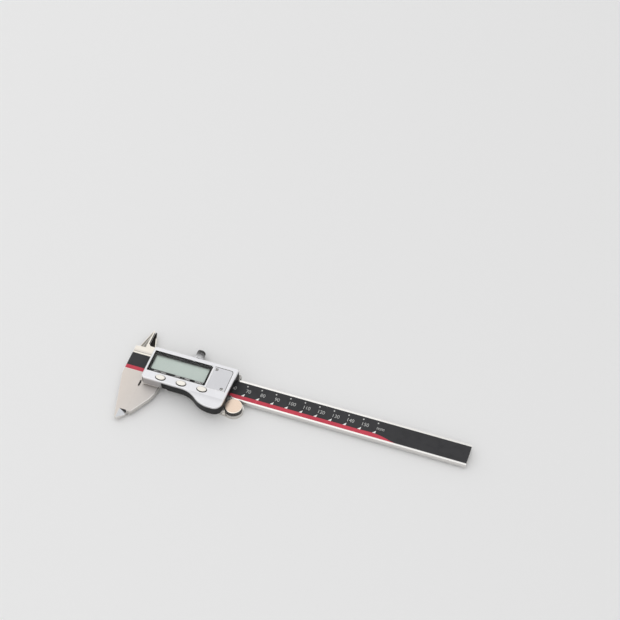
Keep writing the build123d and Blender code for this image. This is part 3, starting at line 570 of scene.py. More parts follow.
@dataclass(frozen=True)
class Recessed(Metal):
    """A plated metal with painted shade: dark on its walls below a level (in the rooms round other pieces,
    where it has any), grey on its apron, and darker on the thumb rest's slopes.
    """

    node: str = "front_cover"
    drop: float = 0.1
    rooms: tuple[str, ...] = ()
    margin: float = 0.6
    dish_shade: float = 0.0
    dish_level: float = 0.98
    dish_slopes: Flat = (0.993, 0.9999)
    apron_drop: float = 1.75
    apron_shade: Colour = srgb(188, 187, 189)
    dark: Colour = srgb(30, 30, 31)

    def inside(self, graph: Graph, node: str) -> Socket:
        """Mask the room round a node, seen from the front."""
        low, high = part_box(node)
        return graph.both(*[graph.near(graph.axes[i], (low[i] + high[i]) / 2,
                                       (high[i] - low[i]) / 2 + self.margin * MM) for i in (0, 1)])

    def ground(self, graph: Graph) -> tuple[object, object, object]:
        """Lay out the front and the painted shade of the thumb rest's hollow, the apron and the recesses.

        Args:
            graph: The material's graph.

        Returns:
            The colour, the roughness and the mask of the bright edges.
        """
        axes, level = graph.axes, graph.level()
        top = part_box(self.node)[1][2]
        # painted shade on the apron, the walls more than apron_drop below the front
        base = graph.blend(graph.under(axes[2], top - self.apron_drop * MM), self.colour, self.apron_shade)
        # painted shade on the thumb rest's slopes, darkest where they start
        dish_shade = graph.both(graph.spread(level, *self.dish_slopes, self.dish_shade, 0.0),
                          graph.over(level, self.dish_level))
        # painted shade on the walls below the drop, only in the rooms where there are any
        shade = graph.under(axes[2], top - self.drop * MM)
        if self.rooms:
            shade = graph.both(graph.either(*[self.inside(graph, node) for node in self.rooms]), shade)
        return graph.blend(shade, graph.blend(dish_shade, base, BLACK), self.dark), self.roughness, 1.0


@dataclass(frozen=True)
class Shaded(Metal):
    """A dark plated metal with a painted reflection that makes it paler towards its lower end."""

    node: str = "lock_screw"
    start: float = 0.38
    change: float = 0.85
    foot: Colour = srgb(240, 240, 242)

    def ground(self, graph: Graph) -> tuple[object, object, object]:
        """Change the colour along the node's length.

        Args:
            graph: The material's graph.

        Returns:
            The colour, the roughness and the mask of the bright edges.
        """
        low, high = (corner[1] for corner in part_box(self.node))
        ends = [low + (high - low) * share for share in (self.start, self.change)]
        # the paler foot is a painted reflection
        rise = graph.spread(graph.axes[1], *ends)
        return graph.blend(rise, self.foot, self.colour), self.roughness, 1.0


@dataclass(frozen=True)
class Turned(Metal):
    """A turned metal face with fine rings about its own centre."""

    node: str = "wheel_cap"
    ring_scale: float = 1500.0
    ring_distortion: float = 1.5
    ring_detail: float = 2.0
    ring_roughness: float = 0.08
    groove: Colour = (0.05, 0.04, 0.03)

    def look(self, graph: Graph) -> Look:
        """Draw rings round the middle of the node.

        Args:
            graph: The material's graph.

        Returns:
            What the shader is fed.
        """
        low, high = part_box(self.node)
        middle = tuple((a + b) / 2 for a, b in zip(low, high))
        moved = graph.add("VectorMath", {0: graph.place(), 1: middle}, operation="SUBTRACT")
        ring = graph.add("TexWave", {"Vector": moved.outputs[0], "Scale": self.ring_scale,
                                     "Distortion": self.ring_distortion, "Detail": self.ring_detail},
                         wave_type="RINGS", rings_direction="Z").outputs[1]
        toned = graph.tint(self.colour, ring, self.tone_change, self.groove)
        # painted highlight: the edges are blended towards GLINT
        edged = graph.tint(toned, WEAR_AND_GLINT.on(graph, self.edge_radius), self.edge_gain, GLINT)
        rough = graph.spread(ring, 0.0, 1.0, self.roughness, self.roughness + self.ring_roughness)
        return Look(edged, rough, ring, self.line_depth, {"Metallic": 1.0})


@dataclass(frozen=True)
class Plastic(Finish):
    """A moulded or printed surface with a fine grain and slightly paler edges."""

    colour: Colour
    second: Colour
    roughness: float = 0.45
    grain: float = 2600.0
    depth: float = 0.000008
    edge: Colour = (0.3, 0.3, 0.3)
    edge_gain: float = 0.2
    shine: float = 0.5
    edge_radius: float = 0.0003
    smudge_scale: float = 120.0
    unevenness: float = 0.08

    def look(self, graph: Graph) -> Look:
        """Draw the grain, smudges and edges.

        Args:
            graph: The material's graph.

        Returns:
            What the shader is fed.
        """
        height, tone = GRAIN.on(graph, self.grain)
        smudge = SMUDGES.on(graph, self.smudge_scale)[1]
        toned = graph.blend(graph.both(tone, smudge), self.colour, self.second)
        edged = graph.tint(toned, WEAR_AND_GLINT.on(graph, self.edge_radius), self.edge_gain, self.edge)
        rough = graph.sum("MULTIPLY_ADD", smudge, self.unevenness, self.roughness)
        return Look(edged, rough, height, self.depth, {"Specular IOR Level": self.shine})


@dataclass(frozen=True)
class Panel(Finish):
    """A smooth panel with a very fine grain, whose colour its own kind lays out."""

    roughness: float = 0.35
    grain: float = 3000.0
    unevenness: float = 0.05

    def grained(self, graph: Graph, colour: object, share: float,
                second: Colour) -> tuple[Socket, Socket, Socket]:
        """Draw the grain over a colour.

        Args:
            graph: The material's graph.
            colour: The colour.
            share: How strong the grain is.
            second: The grain's colour.

        Returns:
            The colour, the roughness and the grain's height.
        """
        height, tone = GRAIN.on(graph, self.grain)
        rough = graph.sum("MULTIPLY_ADD", tone, self.unevenness, self.roughness)
        return graph.tint(colour, tone, share, second), rough, height


@dataclass(frozen=True)
class Graded(Panel):
    """A glossy printed panel whose colour changes gently from its lower to its upper side."""

    node: str = "display_bezel"
    lower: Colour = srgb(16, 16, 17)
    upper: Colour = srgb(40, 40, 40)
    shine: float = 0.15
    grain_share: float = 0.06
    depth: float = 0.000003

    def look(self, graph: Graph) -> Look:
        """Change the colour up the node.

        Args:
            graph: The material's graph.

        Returns:
            What the shader is fed.
        """
        low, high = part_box(self.node)
        colour = graph.blend(graph.spread(graph.axes[1], low[1], high[1]), self.lower, self.upper)
        return Look(*self.grained(graph, colour, self.grain_share, BLACK), self.depth,
                    {"Specular IOR Level": self.shine})


@dataclass(frozen=True)
class DisplayGlass(Panel):
    """The grey-green display, darker along its left and upper sides: a painted shadow of the bezel."""

    colour: Colour = srgb(200, 212, 205)
    shade: Colour = srgb(62, 68, 64)
    fade: Flat = (1.5, 2.3)
    fade_power: float = 1.6
    fade_strength: float = 0.85
    border: Flat = (1.5, 2.1)
    grain_share: float = 0.04
    depth: float = 0.000002

    def look(self, graph: Graph) -> Look:
        """Paint the bezel's shadow along the display's left and upper sides.

        Args:
            graph: The material's graph.

        Returns:
            What the shader is fed.
        """
        axes = graph.axes
        low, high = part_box("display_bezel")
        left = low[0] + self.border[0] * MM
        top = high[1] - self.border[1] * MM
        beside = graph.spread(axes[0], left + self.fade[0] * MM, left)
        above = graph.spread(axes[1], top - self.fade[1] * MM, top)
        # painted shadow of the bezel, strongest at the left and upper edges
        edge = graph.sum("POWER", graph.either(beside, above), self.fade_power)
        clouded, rough, height = self.grained(graph, self.colour, self.grain_share, self.shade)
        return Look(graph.tint(clouded, edge, self.fade_strength, self.shade), rough, height, self.depth)


@dataclass(frozen=True)
class Clear(Finish):
    """Clear acrylic with a trace of fine scratches."""

    ior: float = 1.45
    solid: float = 0.12
    smudge_scale: float = 150.0
    scratched: float = 0.012

    def look(self, graph: Graph) -> Look:
        """Let light through, with a trace of roughness where hands have been."""
        smudge = SMUDGES.on(graph, self.smudge_scale)[1]
        return Look(WHITE, graph.spread(smudge, 0.0, 1.0, 0.0, self.scratched),
                    others={"Transmission Weight": 1.0, "Alpha": self.solid, "IOR": self.ior})


@dataclass(frozen=True)
class Laminate(Finish):
    """Circuit board or etched strip: copper under a lacquer, in straight traces."""

    lacquer: Colour
    trace: Colour
    pitch: float = 900.0
    trace_width: float = 0.06
    grain: float = 1800.0
    grain_share: float = 0.15
    roughness: Flat = (0.3, 0.2)
    depth: float = 0.00002

    def look(self, graph: Graph) -> Look:
        """Draw the traces and the grain.

        Args:
            graph: The material's graph.

        Returns:
            What the shader is fed.
        """
        colour, height = graph.add("TexBrick", {
            "Vector": graph.place(), "Scale": self.pitch, "Mortar Size": self.trace_width,
            "Color1": self.lacquer, "Color2": self.lacquer, "Mortar": self.trace}, offset=0.5).outputs
        tone = GRAIN.on(graph, self.grain)[1]
        return Look(graph.tint(colour, tone, self.grain_share, BLACK),
                    graph.spread(height, 0.0, 1.0, *self.roughness), height, self.depth)


@dataclass
class Finishes:
    """Every finish of the tool, by the name of the record's material slot or of its own."""

    made: dict[str, Material] = field(default_factory=dict)

    def print(self, name: str, colour: Colour, second: Colour, edge: Colour = Plastic.edge) -> Plastic:
        """Give the finish of a printed ink."""
        return Plastic(name, colour, second, 0.5, 3000.0, 0.000002, edge)

    def table(self) -> dict[str, Finish]:
        """List the finishes by name."""
        return {
            "jaw_steel": JawSteel(
                "ground_jaw_steel", srgb(229, 227, 224), 0.14, Lay.ALONG, 0.000001, 0.02, 0.0004, 0.8),
            "slider_steel": JawSteel(
                "ground_slider_steel", srgb(216, 213, 208), 0.2, Lay.ALONG, 0.0000015, 0.04, 0.0004, 0.8,
                Hollow(((-11.3, 20.6), (-7.9, 33.2)), ((-7.55, 20.0), (-7.55, 36.0)), 20.6, (4.0, 9.0),
                       srgb(158, 153, 144), 0.5),
                low=-2.5, high=(16.0, 18.0), back=1.0, right=13.6, root_shade=0.12, end_shade=0.6),
            "plate_steel": Metal("plate_steel", srgb(214, 212, 208), 0.28, Lay.ACROSS),
            "rod_steel": Metal("rod_steel", srgb(224, 221, 216), 0.2, Lay.ALONG),
            "screw_steel": Metal("screw_steel", srgb(204, 203, 200), 0.26),
            "lid_screw_steel": Recessed(
                "lid_screw_steel", srgb(176, 175, 172), 0.3, node="battery_cover_screws"),
            "circuit_green": Laminate("circuit_laminate", srgb(22, 74, 48), srgb(146, 122, 70)),
            "scale_film": Plastic(
                "scale_film", srgb(54, 54, 56), srgb(46, 46, 48), 0.5, 1500.0, 0.000003, srgb(70, 70, 72),
                shine=0.25),
            "gib_brass": Metal("gib_brass", srgb(196, 160, 88), 0.3, Lay.ALONG),
            "case_plastic": Plastic(
                "case_plastic", srgb(22, 22, 23), srgb(30, 30, 31), edge_gain=0.1, shine=0.3),
            # painted shade in the recesses round the buttons and the lid, and on the thumb rest's slopes
            "cover_chrome": Recessed(
                "satin_chrome", srgb(217, 217, 220), 0.3, Lay.ACROSS, 0.0000015, 0.05, 0.0005, 0.9,
                rooms=(*BUTTONS, "battery_cover"), dish_shade=0.14),
            "bezel_plastic": Graded("bezel_lacquer"),
            "lens_clear": Clear("clear_acrylic"),
            "panel_grey": DisplayGlass("display_glass"),
            "connector_rubber": Plastic("connector_rubber", srgb(196, 150, 156), srgb(60, 56, 58), 0.7),
            "chip_black": Plastic("chip_resin", srgb(20, 20, 21), srgb(28, 28, 29), 0.35),
            "cell_steel": Metal("cell_can", srgb(214, 214, 210), 0.22),
            "lid_plastic": Recessed(
                "lid_satin", srgb(200, 200, 203), 0.36, Lay.ACROSS, 0.0000015, 0.04, 0.0003, 0.5,
                "battery_cover", 0.2),
            # the button's fillet, below its top, is painted dark: painted shade
            "button_silver": Recessed(
                "button_satin", srgb(224, 220, 212), 0.24, Lay.EVEN, 0.0000005, 0.02, 0.0003, 0.3,
                "unit_button", 0.3, dark=srgb(52, 50, 48)),
            # painted highlight on the thumb wheel's top rim
            "wheel_rim_highlight": Metal("wheel_rim_highlight", srgb(250, 243, 230), 0.14, Lay.EVEN, 0.000002, 0.04),
            # near black: painted shade on the knurled roller under the cap
            "wheel_steel": Metal(
                "wheel_steel", srgb(44, 42, 40), 0.22, Lay.UPRIGHT, 0.000004, 0.3, 0.0002, 0.35),
            "wheel_cap_metal": Turned("turned_cap", srgb(226, 205, 187), 0.24),
            "lock_chrome": Shaded(
                "lock_chrome", srgb(30, 30, 31), 0.12, Lay.UPRIGHT, 0.000003, 0.35, 0.00012, 0.4),
            "wiper_rubber": Plastic("wiper_felt", srgb(30, 30, 31), srgb(50, 50, 50), 0.9, 4000.0, 0.00005),
            "print_bright": self.print("print_bright", srgb(252, 252, 250), srgb(240, 240, 238)),
            "print_white": self.print("print_white", srgb(214, 214, 212), srgb(200, 200, 198)),
            "print_red": self.print("print_red", srgb(206, 58, 78), srgb(192, 50, 70), srgb(220, 90, 105)),
        }

    def get(self, name: str) -> Material:
        """Give a finish's material, built on first use.

        Args:
            name: The finish's name.

        Returns:
            The material.
        """
        if name not in self.made:
            self.made[name] = self.table()[name].make()
        return self.made[name]


FINISHES = Finishes()


# ---------------------------------------------------------------- meshes
def put_in_scene(name: str, data: bpy.types.ID) -> Item:
    """Make an object and put it in the scene.

    Args:
        name: The object's name.
        data: Its mesh, lamp or camera.

    Returns:
        The object.
    """
    item = bpy.data.objects.new(name, data)
    bpy.context.scene.collection.objects.link(item)
    return item


def letters(words: str, **settings: float) -> Mesh:
    """Make the mesh of some lettering.

    Args:
        words: What it says.
        **settings: Attributes of its text curve.

    Returns:
        The mesh, which the caller removes.
    """
    curve = bpy.data.curves.new("lettering", "FONT")
    curve.body = words
    for name, value in settings.items():
        setattr(curve, name, value)
    holder = bpy.data.objects.new("lettering", curve)
    mesh = bpy.data.meshes.new_from_object(holder)
    bpy.data.objects.remove(holder)
    bpy.data.curves.remove(curve)
    return mesh


def rectangle(across: float, up: float) -> list[Flat]:
    """Give a rectangle's corners about the middle, anticlockwise, from half its width and height."""
    return [(-across, -up), (across, -up), (across, up), (-across, up)]


class Builder:
    """Collects the faces of one piece and turns them into an object."""

    weld = 0.0000005
    letter_steps = 5

    def __init__(self) -> None:
        """Start with no faces."""
        self.mesh = bmesh.new()

    def slab(self, outline: Sequence[Flat], low: float, high: float) -> None:
        """Add a flat prism.

        Args:
            outline: Corners in the plan, anticlockwise, in metres.
            low: Lower level.
            high: Upper level.
        """
        rings = [[self.mesh.verts.new((x, y, z)) for x, y in outline] for z in (low, high)]
        self.mesh.faces.new(rings[0][::-1])
        self.mesh.faces.new(rings[1])
        for i, (a, b) in enumerate(zip(*rings)):
            following = (i + 1) % len(outline)
            self.mesh.faces.new((a, rings[0][following], rings[1][following], b))

    def lathe(self, profile: Sequence[Ring], axis: Matrix, teeth: int, depth: float = 0.0,
              steps: int = 4) -> None:
        """Turn a profile about an axis, with straight knurling where it says so.

        Args:
            profile: Radius and height of each corner, and where it is knurled the depth's share.
            axis: Places the turned shape, whose own axis is Z.
            teeth: Teeth round the shape.
            depth: Depth of the knurling.
            steps: Divisions of each tooth.
        """
        count = teeth * steps
        rings = []
        for radius, height, *share in profile:
            if radius == 0.0:
                rings.append([self.mesh.verts.new(axis @ Vector((0, 0, height)))] * count)
                continue
            ring = []
            for i in range(count):
                angle = math.tau * i / count
                sunk = 0.5 - 0.5 * math.cos(math.tau * (i % steps) / steps)
                reach = radius - (share[0] * depth * sunk if share else 0.0)
                point = Vector((reach * math.cos(angle), reach * math.sin(angle), height))
                ring.append(self.mesh.verts.new(axis @ point))
            rings.append(ring)
        for lower, upper in zip(rings, rings[1:]):
            for i in range(count):
                j = (i + 1) % count
                corners = list(dict.fromkeys((lower[i], lower[j], upper[j], upper[i])))
                if len(corners) > 2:
                    self.mesh.faces.new(corners)

    def text(self, words: str, height: float, middle: Vector, thickness: float, narrow: float = 1.0,
             left: bool = False, thin: float = 0.0) -> None:
        """Add flat raised lettering.

        Args:
            words: What it says.
            height: Height of its capitals.
            middle: Middle of its foot line, or its left end.
            thickness: How far it stands up.
            narrow: Width as a share of the plain letters' width.
            left: Whether it starts at the point.
            thin: How much the strokes' sides are drawn in, as a share of the letters' size.
        """
        flat = letters(words, extrude=0.5, resolution_u=self.letter_steps, offset=-thin)
        gauge = letters("H")
        rise = max(v.co.y for v in gauge.vertices) - min(v.co.y for v in gauge.vertices)
        size = height / rise
        across = [v.co.x for v in flat.vertices]
        start = min(across) if left else (min(across) + max(across)) / 2
        for vertex in flat.vertices:
            x, y, z = vertex.co
            vertex.co = middle + Vector(((x - start) * size * narrow, y * size, (z + 0.5) * thickness))
        self.mesh.from_mesh(flat)
        for data in (flat, gauge):
            bpy.data.meshes.remove(data)

    def data(self, name: str) -> Mesh:
        """Turn the faces into mesh data.

        Args:
            name: The data's name.

        Returns:
            The mesh data.
        """
        data = bpy.data.meshes.new(name)
        self.mesh.to_mesh(data)
        self.mesh.free()
        return data

    def piece(self, name: str, body: str, slot: str, stands_for: Sequence[str] = (),
              smooth: float = PIECE_SMOOTH, finish: str = "") -> Item:
        """Turn the faces into a piece that rides on a body.

        Args:
            name: The piece's name.
            body: The body it rides on.
            slot: The material slot it belongs to.
            stands_for: CAD nodes it stands for.
            smooth: Angle in degrees up to which faces shade as one.
            finish: Its finish, where that isn't the slot's own.

        Returns:
            The piece.
        """
        bmesh.ops.remove_doubles(self.mesh, verts=self.mesh.verts, dist=self.weld)
        bmesh.ops.recalc_face_normals(self.mesh, faces=self.mesh.faces)
        data = self.data(name)
        data.shade_smooth()
        data.set_sharp_from_angle(angle=math.radians(smooth))
        data.materials.append(FINISHES.get(finish or slot))
        item = put_in_scene(name, data)
        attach(item, body)
        if stands_for:
            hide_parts(*stands_for)
        log.info("built %s", name)
        return item


def carve(item: Item, cutters: Sequence[Builder]) -> None:
    """Cut recesses out of a piece.

    Args:
        item: The piece.
        cutters: The shapes to take away.
    """
    for cutter in cutters:
        bmesh.ops.recalc_face_normals(cutter.mesh, faces=cutter.mesh.faces)
        data = cutter.data("cutter")
        tool = put_in_scene("cutter", data)
        step = item.modifiers.new("recess", "BOOLEAN")
        step.operation = "DIFFERENCE"
        step.solver = "EXACT"
        step.object = tool
        bpy.context.view_layer.update()
        whole = item.evaluated_get(bpy.context.evaluated_depsgraph_get())
        cut = bpy.data.meshes.new_from_object(whole)
        item.modifiers.clear()
        spare = item.data
        item.data = cut
        cut.name = spare.name
        bpy.data.meshes.remove(spare)
        bpy.data.objects.remove(tool)
        bpy.data.meshes.remove(data)


def knurled(node: str, slot: str, profile: Sequence[Ring], axis: Matrix, teeth: int, depth: float) -> Item:
    """Turn a knurled piece in place of a node that moves by itself.

    Args:
        node: The node, which has the name of its body.
        slot: Its material slot.
        profile: Radius and height of each corner, and where it is knurled the depth's share.
        axis: Places the turned shape, whose own axis is Z.
        teeth: Teeth round the shape.
        depth: Depth of the knurling, in millimetres.

    Returns:
        The piece.
    """
    builder = Builder()
    builder.lathe(profile, axis, teeth, depth * MM)
    return builder.piece(node + "_knurled", node, slot, [node], KNURL_SMOOTH)


# ---------------------------------------------------------------- sub-assemblies
@dataclass
class PrintedScale:
    """The print on the beam's film: red band, dots, flags, numbers and the unit."""

    body: str = "beam"
    zero: float = -1.5
    step: float = 10.0
    last: int = 150
    ink: float = 0.02
    band_low: float = 1.05
    band_high: float = 4.0
    band_left: float = 0.05
    band_fall: float = 8.0
    band_end: tuple[Flat, ...] = ((156.4, 4.3), (160.2, 3.95), (163.6, 3.4), (166.6, 2.65), (169.0, 1.9),
                                  (173.0, 1.05))
    dot_y: float = 12.4
    dot_radius: float = 0.5
    dot_sides: int = 16
    flag_width: float = 2.0
    flag_height: float = 2.1
    flag_right: float = 0.2
    flag_tip: float = 0.3
    flag_gap: float = 0.05
    last_flag_gap: float = 0.3
    number_y: float = 7.5
    number_height: float = 2.6
    number_left: float = 0.2
    narrow: float = 0.92
    thin: float = 0.01

    def marks(self) -> list[tuple[int, float]]:
        """List the marks from the first number to the unit, each with its place along the beam."""
        return [(i, self.zero + i * self.step) for i in range(1, round(self.last / self.step) + 2)]

    def levels(self) -> Flat:
        """Give the film's top and the ink's top."""
        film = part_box("scale_label")[1][2]
        return film, film + self.ink * MM

    def shapes(self, name: str, finish: str, outlines: Iterable[Sequence[Flat]]) -> None:
        """Print flat shapes as one piece.

        Args:
            name: The piece's name.
            finish: Its finish.
            outlines: The shapes' corners in the tool's millimetres.
        """
        builder = Builder()
        for outline in outlines:
            places = [DATUM.at(x, y, 0) for x, y in outline]
            builder.slab([(place.x, place.y) for place in places], *self.levels())
        builder.piece(name, self.body, "scale_film", finish=finish)

    def band(self) -> list[Flat]:
        """Give the red band, which narrows to a point beyond the last number."""
        left = -DATUM.head_width + self.band_left
        return [(left, self.band_low), (self.band_end[-1][0], self.band_low), *self.band_end[-2::-1],
                (self.band_end[0][0] - self.band_fall, self.band_high), (left, self.band_high)]

    def dot(self, x: float) -> list[Flat]:
        """Give a dot of the upper side, one every ten millimetres."""
        turns = [math.tau * k / self.dot_sides for k in range(self.dot_sides)]
        return [(x + self.dot_radius * math.cos(turn), self.dot_y + self.dot_radius * math.sin(turn))
                for turn in turns]

    def flag(self, x: float) -> list[Flat]:
        """Give a slanted flag, which stands on the band at its number."""
        foot = self.band_high + (self.last_flag_gap if x > self.last else self.flag_gap)
        right = x + self.flag_right
        return [(right - self.flag_width, foot), (right, foot), (x + self.flag_tip, foot + self.flag_height)]

    def numbers(self) -> None:
        """Build the numbers and the unit after them."""
        builder = Builder()
        for i, x in self.marks():
            words = str(round(i * self.step)) if i * self.step <= self.last else "mm"
            place = DATUM.at(x + self.number_left, self.number_y, 0)
            place.z = self.levels()[0]
            builder.text(words, self.number_height * MM, place, self.ink * MM, self.narrow, True, self.thin)
        builder.piece("scale_numbers", self.body, "scale_film", finish="print_white")

    def build(self) -> None:
        """Build the whole print."""
        self.shapes("scale_red_band", "print_red", [self.band()])
        self.shapes("scale_dots", "print_white", [self.dot(x) for _, x in self.marks()])
        self.shapes("scale_flags", "print_bright", [self.flag(x) for _, x in self.marks()])
        self.numbers()


@dataclass
class LockScrew:
    """The lock screw with its straight-knurled knob."""

    teeth: int = 30
    knurl_depth: float = 0.22
    knob_height: float = 7.5
    bevel: float = 0.6
    groove: float = 0.35
    shank: float = 1.2
    dimple: float = 1.3
    tip: Flat = (0.85, 0.15)
    foot_fade: float = 0.4
    crown_fade: float = 0.3
    crown: float = 1.3
    dimple_floor: float = 0.8

    def build(self) -> None:
        """Build the screw about its own axis, in place of the plain one."""
        low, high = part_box("lock_screw")
        radius = (high[0] - low[0]) / 2
        foot = Vector(((low[0] + high[0]) / 2, low[1], (low[2] + high[2]) / 2))
        axis = Matrix.Translation(foot) @ Matrix.Rotation(-math.pi / 2, 4, "X")
        top = high[1] - low[1]
        start = top - self.knob_height * MM
        bevel, groove, shank, dimple = (
            size * MM for size in (self.bevel, self.groove, self.shank, self.dimple))
        middle = start + (top - start) * 0.5
        profile = [
            (0.0, 0.0), (shank * self.tip[0], 0.0), (shank, shank * self.tip[1]), (shank, start),
            (radius - bevel / 2, start), (radius, start + bevel / 2, self.foot_fade),
            (radius, start + bevel, 1.0), (radius, middle - groove, 1.0),
            (radius - groove, middle - groove / 2), (radius - groove, middle + groove / 2),
            (radius, middle + groove, 1.0), (radius, top - bevel * self.crown, 1.0),
            (radius, top - bevel, self.crown_fade), (radius - bevel, top), (dimple, top),
            (dimple * self.dimple_floor, top - bevel / 2), (0.0, top - bevel / 2),
        ]
        knurled("lock_screw", "lock_chrome", profile, axis, self.teeth, self.knurl_depth)


@dataclass
class ThumbWheel:
    """The knurled wheel that rolls on the beam's edge."""

    teeth: int = 56
    knurl_depth: float = 0.2
    bevel: float = 0.25
    bore: float = 1.53
    pocket: float = 2.7
    cap_border: float = 0.35
    cap_depth: float = 0.65
    pin_room: float = 0.85
    edge_fade: float = 0.5
    edge: float = 1.4
    rim: float = 1.2

    def build(self) -> None:
        """Build the wheel about its own axis, in place of the plain one."""
        low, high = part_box("thumb_wheel")
        radius = (high[0] - low[0]) / 2
        top = high[2] - low[2]
        axis = Matrix.Translation(((low[0] + high[0]) / 2, (low[1] + high[1]) / 2, low[2]))
        bevel, bore, pocket = (size * MM for size in (self.bevel, self.bore, self.pocket))
        floor = top - self.cap_depth * MM
        shelf = top - (self.cap_depth + self.pin_room) * MM
        seat = radius - self.cap_border * MM
        profile = [
            (bore, 0.0), (radius - bevel, 0.0), (radius, bevel, self.edge_fade),
            (radius, bevel * self.edge, 1.0), (radius, top - bevel * self.edge, 1.0),
            (radius, top - bevel, self.edge_fade), (radius - bevel, top), (seat, top),
            (seat, floor), (pocket, floor), (pocket, shelf), (bore, shelf), (bore, 0.0),
        ]
        item = knurled("thumb_wheel", "wheel_steel", profile, axis, self.teeth, self.knurl_depth)
        # the wheel's top rim gets a near-white finish: a painted highlight
        item.data.materials.append(FINISHES.get("wheel_rim_highlight"))
        for face in item.data.polygons:
            middle = Vector(face.center) - axis.translation
            outside = math.hypot(middle.x, middle.y) > seat - self.cap_border * MM / 2
            face.material_index = int(outside and middle.z > top - bevel * self.rim)


class Drive(Enum):
    """How a screw's head takes its driver."""

    SLOT = 1
    CROSS = 2


class Facing(Enum):
    """Which way a screw's head faces, as its turn about X."""

    BACK = 0.0
    FRONT = math.pi
    UP = math.pi / 2


@dataclass
class ScrewSet:
    """Alike screws of one CAD node, with their drives cut in."""

    node: str
    head: float
    shank: float
    drive: Drive
    facing: Facing
    head_height: float = 0.0
    width: float = 0.36
    depth: float = 0.3
    turn: float = 25.0
    body: str = "slider"
    finish: str = "screw_steel"
    sides: int = 32
    smooth: float = 30.0
    bevel: float = 0.1
    cross_reach: float = 0.62
    overrun: float = 1.2
    next_turn: float = 50.0

    def places(self) -> list[Matrix]:
        """Place each screw: Z runs from the head's face along the shank."""
        low, high = (Vector(corner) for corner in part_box(self.node))
        edge = self.head * MM
        left, right = low.x + edge, high.x - edge
        if self.facing is Facing.UP:
            spots = [(x, high.y, (low.z + high.z) / 2) for x in (left, right)]
        else:
            face = low.z if self.facing is Facing.BACK else high.z
            spots = [(left, high.y - edge, face), (right, low.y + edge, face)]
        turned = Matrix.Rotation(self.facing.value, 4, "X")
        return [Matrix.Translation(spot) @ turned for spot in spots]

    def profile(self, length: float) -> list[Ring]:
        """Give the screw's turned profile from its head's face to its end.

        Args:
            length: The whole screw's length in metres.

        Returns:
            Radius and height of each corner.
        """
        head, shank, edge = (size * MM for size in (self.head, self.shank, self.bevel))
        end = [(shank, length - edge), (shank - edge, length), (0.0, length)]
        if head <= shank:
            return [(0.0, 0.0), (shank - edge, 0.0), (shank, edge), *end]
        foot, drop = (head, self.head_height * MM) if self.head_height else (shank, head - shank)
        return [(0.0, 0.0), (head - edge, 0.0), (head, edge / 2), (foot, drop), (shank, drop), *end]

    def recess(self, place: Matrix, angle: float) -> Builder:
        """Shape one bar of the drive.

        Args:
            place: The screw's place.
            angle: The bar's turn about the screw, in degrees.

        Returns:
            The bar, ready to cut with.
        """
        reach = self.head if self.drive is Drive.SLOT else self.head * self.cross_reach
        builder = Builder()
        builder.slab(rectangle(reach * MM * self.overrun, self.width / 2 * MM),
                     -self.depth * MM, self.depth * MM)
        bmesh.ops.transform(builder.mesh, verts=builder.mesh.verts,
                            matrix=place @ Matrix.Rotation(math.radians(angle), 4, "Z"))
        return builder

    def build(self) -> None:
        """Build the screws in place of the plain ones."""
        low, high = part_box(self.node)
        length = (high[1] - low[1]) if self.facing is Facing.UP else (high[2] - low[2])
        builder = Builder()
        cutters = []
        for i, place in enumerate(self.places()):
            builder.lathe(self.profile(length), place, self.sides, steps=1)
            angles = [self.turn + self.next_turn * i]
            if self.drive is Drive.CROSS:
                angles.append(angles[0] + 90)
            cutters += [self.recess(place, angle) for angle in angles]
        item = builder.piece(self.node + "_cut", self.body, "screw_steel", [self.node], finish=self.finish)
        carve(item, cutters)
        item.data.set_sharp_from_angle(angle=math.radians(self.smooth))


@dataclass
class ButtonLabels:
    """The small plain labels printed under the window, above the buttons."""

    words: tuple[tuple[str, str, float], ...] = (
        ("unit_button", "mm / inch", -2.4), ("power_button", "OFF  /  ON", -1.2),
        ("zero_button", "ZERO", -4.1))
    height: float = 1.3
    middle: float = -0.5
    ink: float = 0.015
    wide: float = 1.15

    def build(self) -> None:
        """Build the labels as one print."""
        builder = Builder()
        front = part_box("display_bezel")[1][2]
        for node, words, shift in self.words:
            low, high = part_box(node)
            place = DATUM.at(0, self.middle, 0)
            place.x = (low[0] + high[0]) / 2 + shift * MM
            place.z = front
            builder.text(words, self.height * MM, place, self.ink * MM, self.wide)
        builder.piece("button_labels", "slider", "bezel_plastic", finish="print_bright")


class CadNodes:
    """The CAD's own shapes, each given the finish of its slot in the record."""

    def build(self) -> None:
        """Put each node's finish on its material slots."""
        slots = {entry["node"]: entry["material_slot"] for entry in frame["record"]["subparts"]}
        for name, node in frame["nodes"].items():
            material = FINISHES.get(slots[name])
            if not node.data.materials:
                node.data.materials.append(material)
            for place in node.material_slots:
                place.material = material
            log.info("dressed %s in %s", name, slots[name])


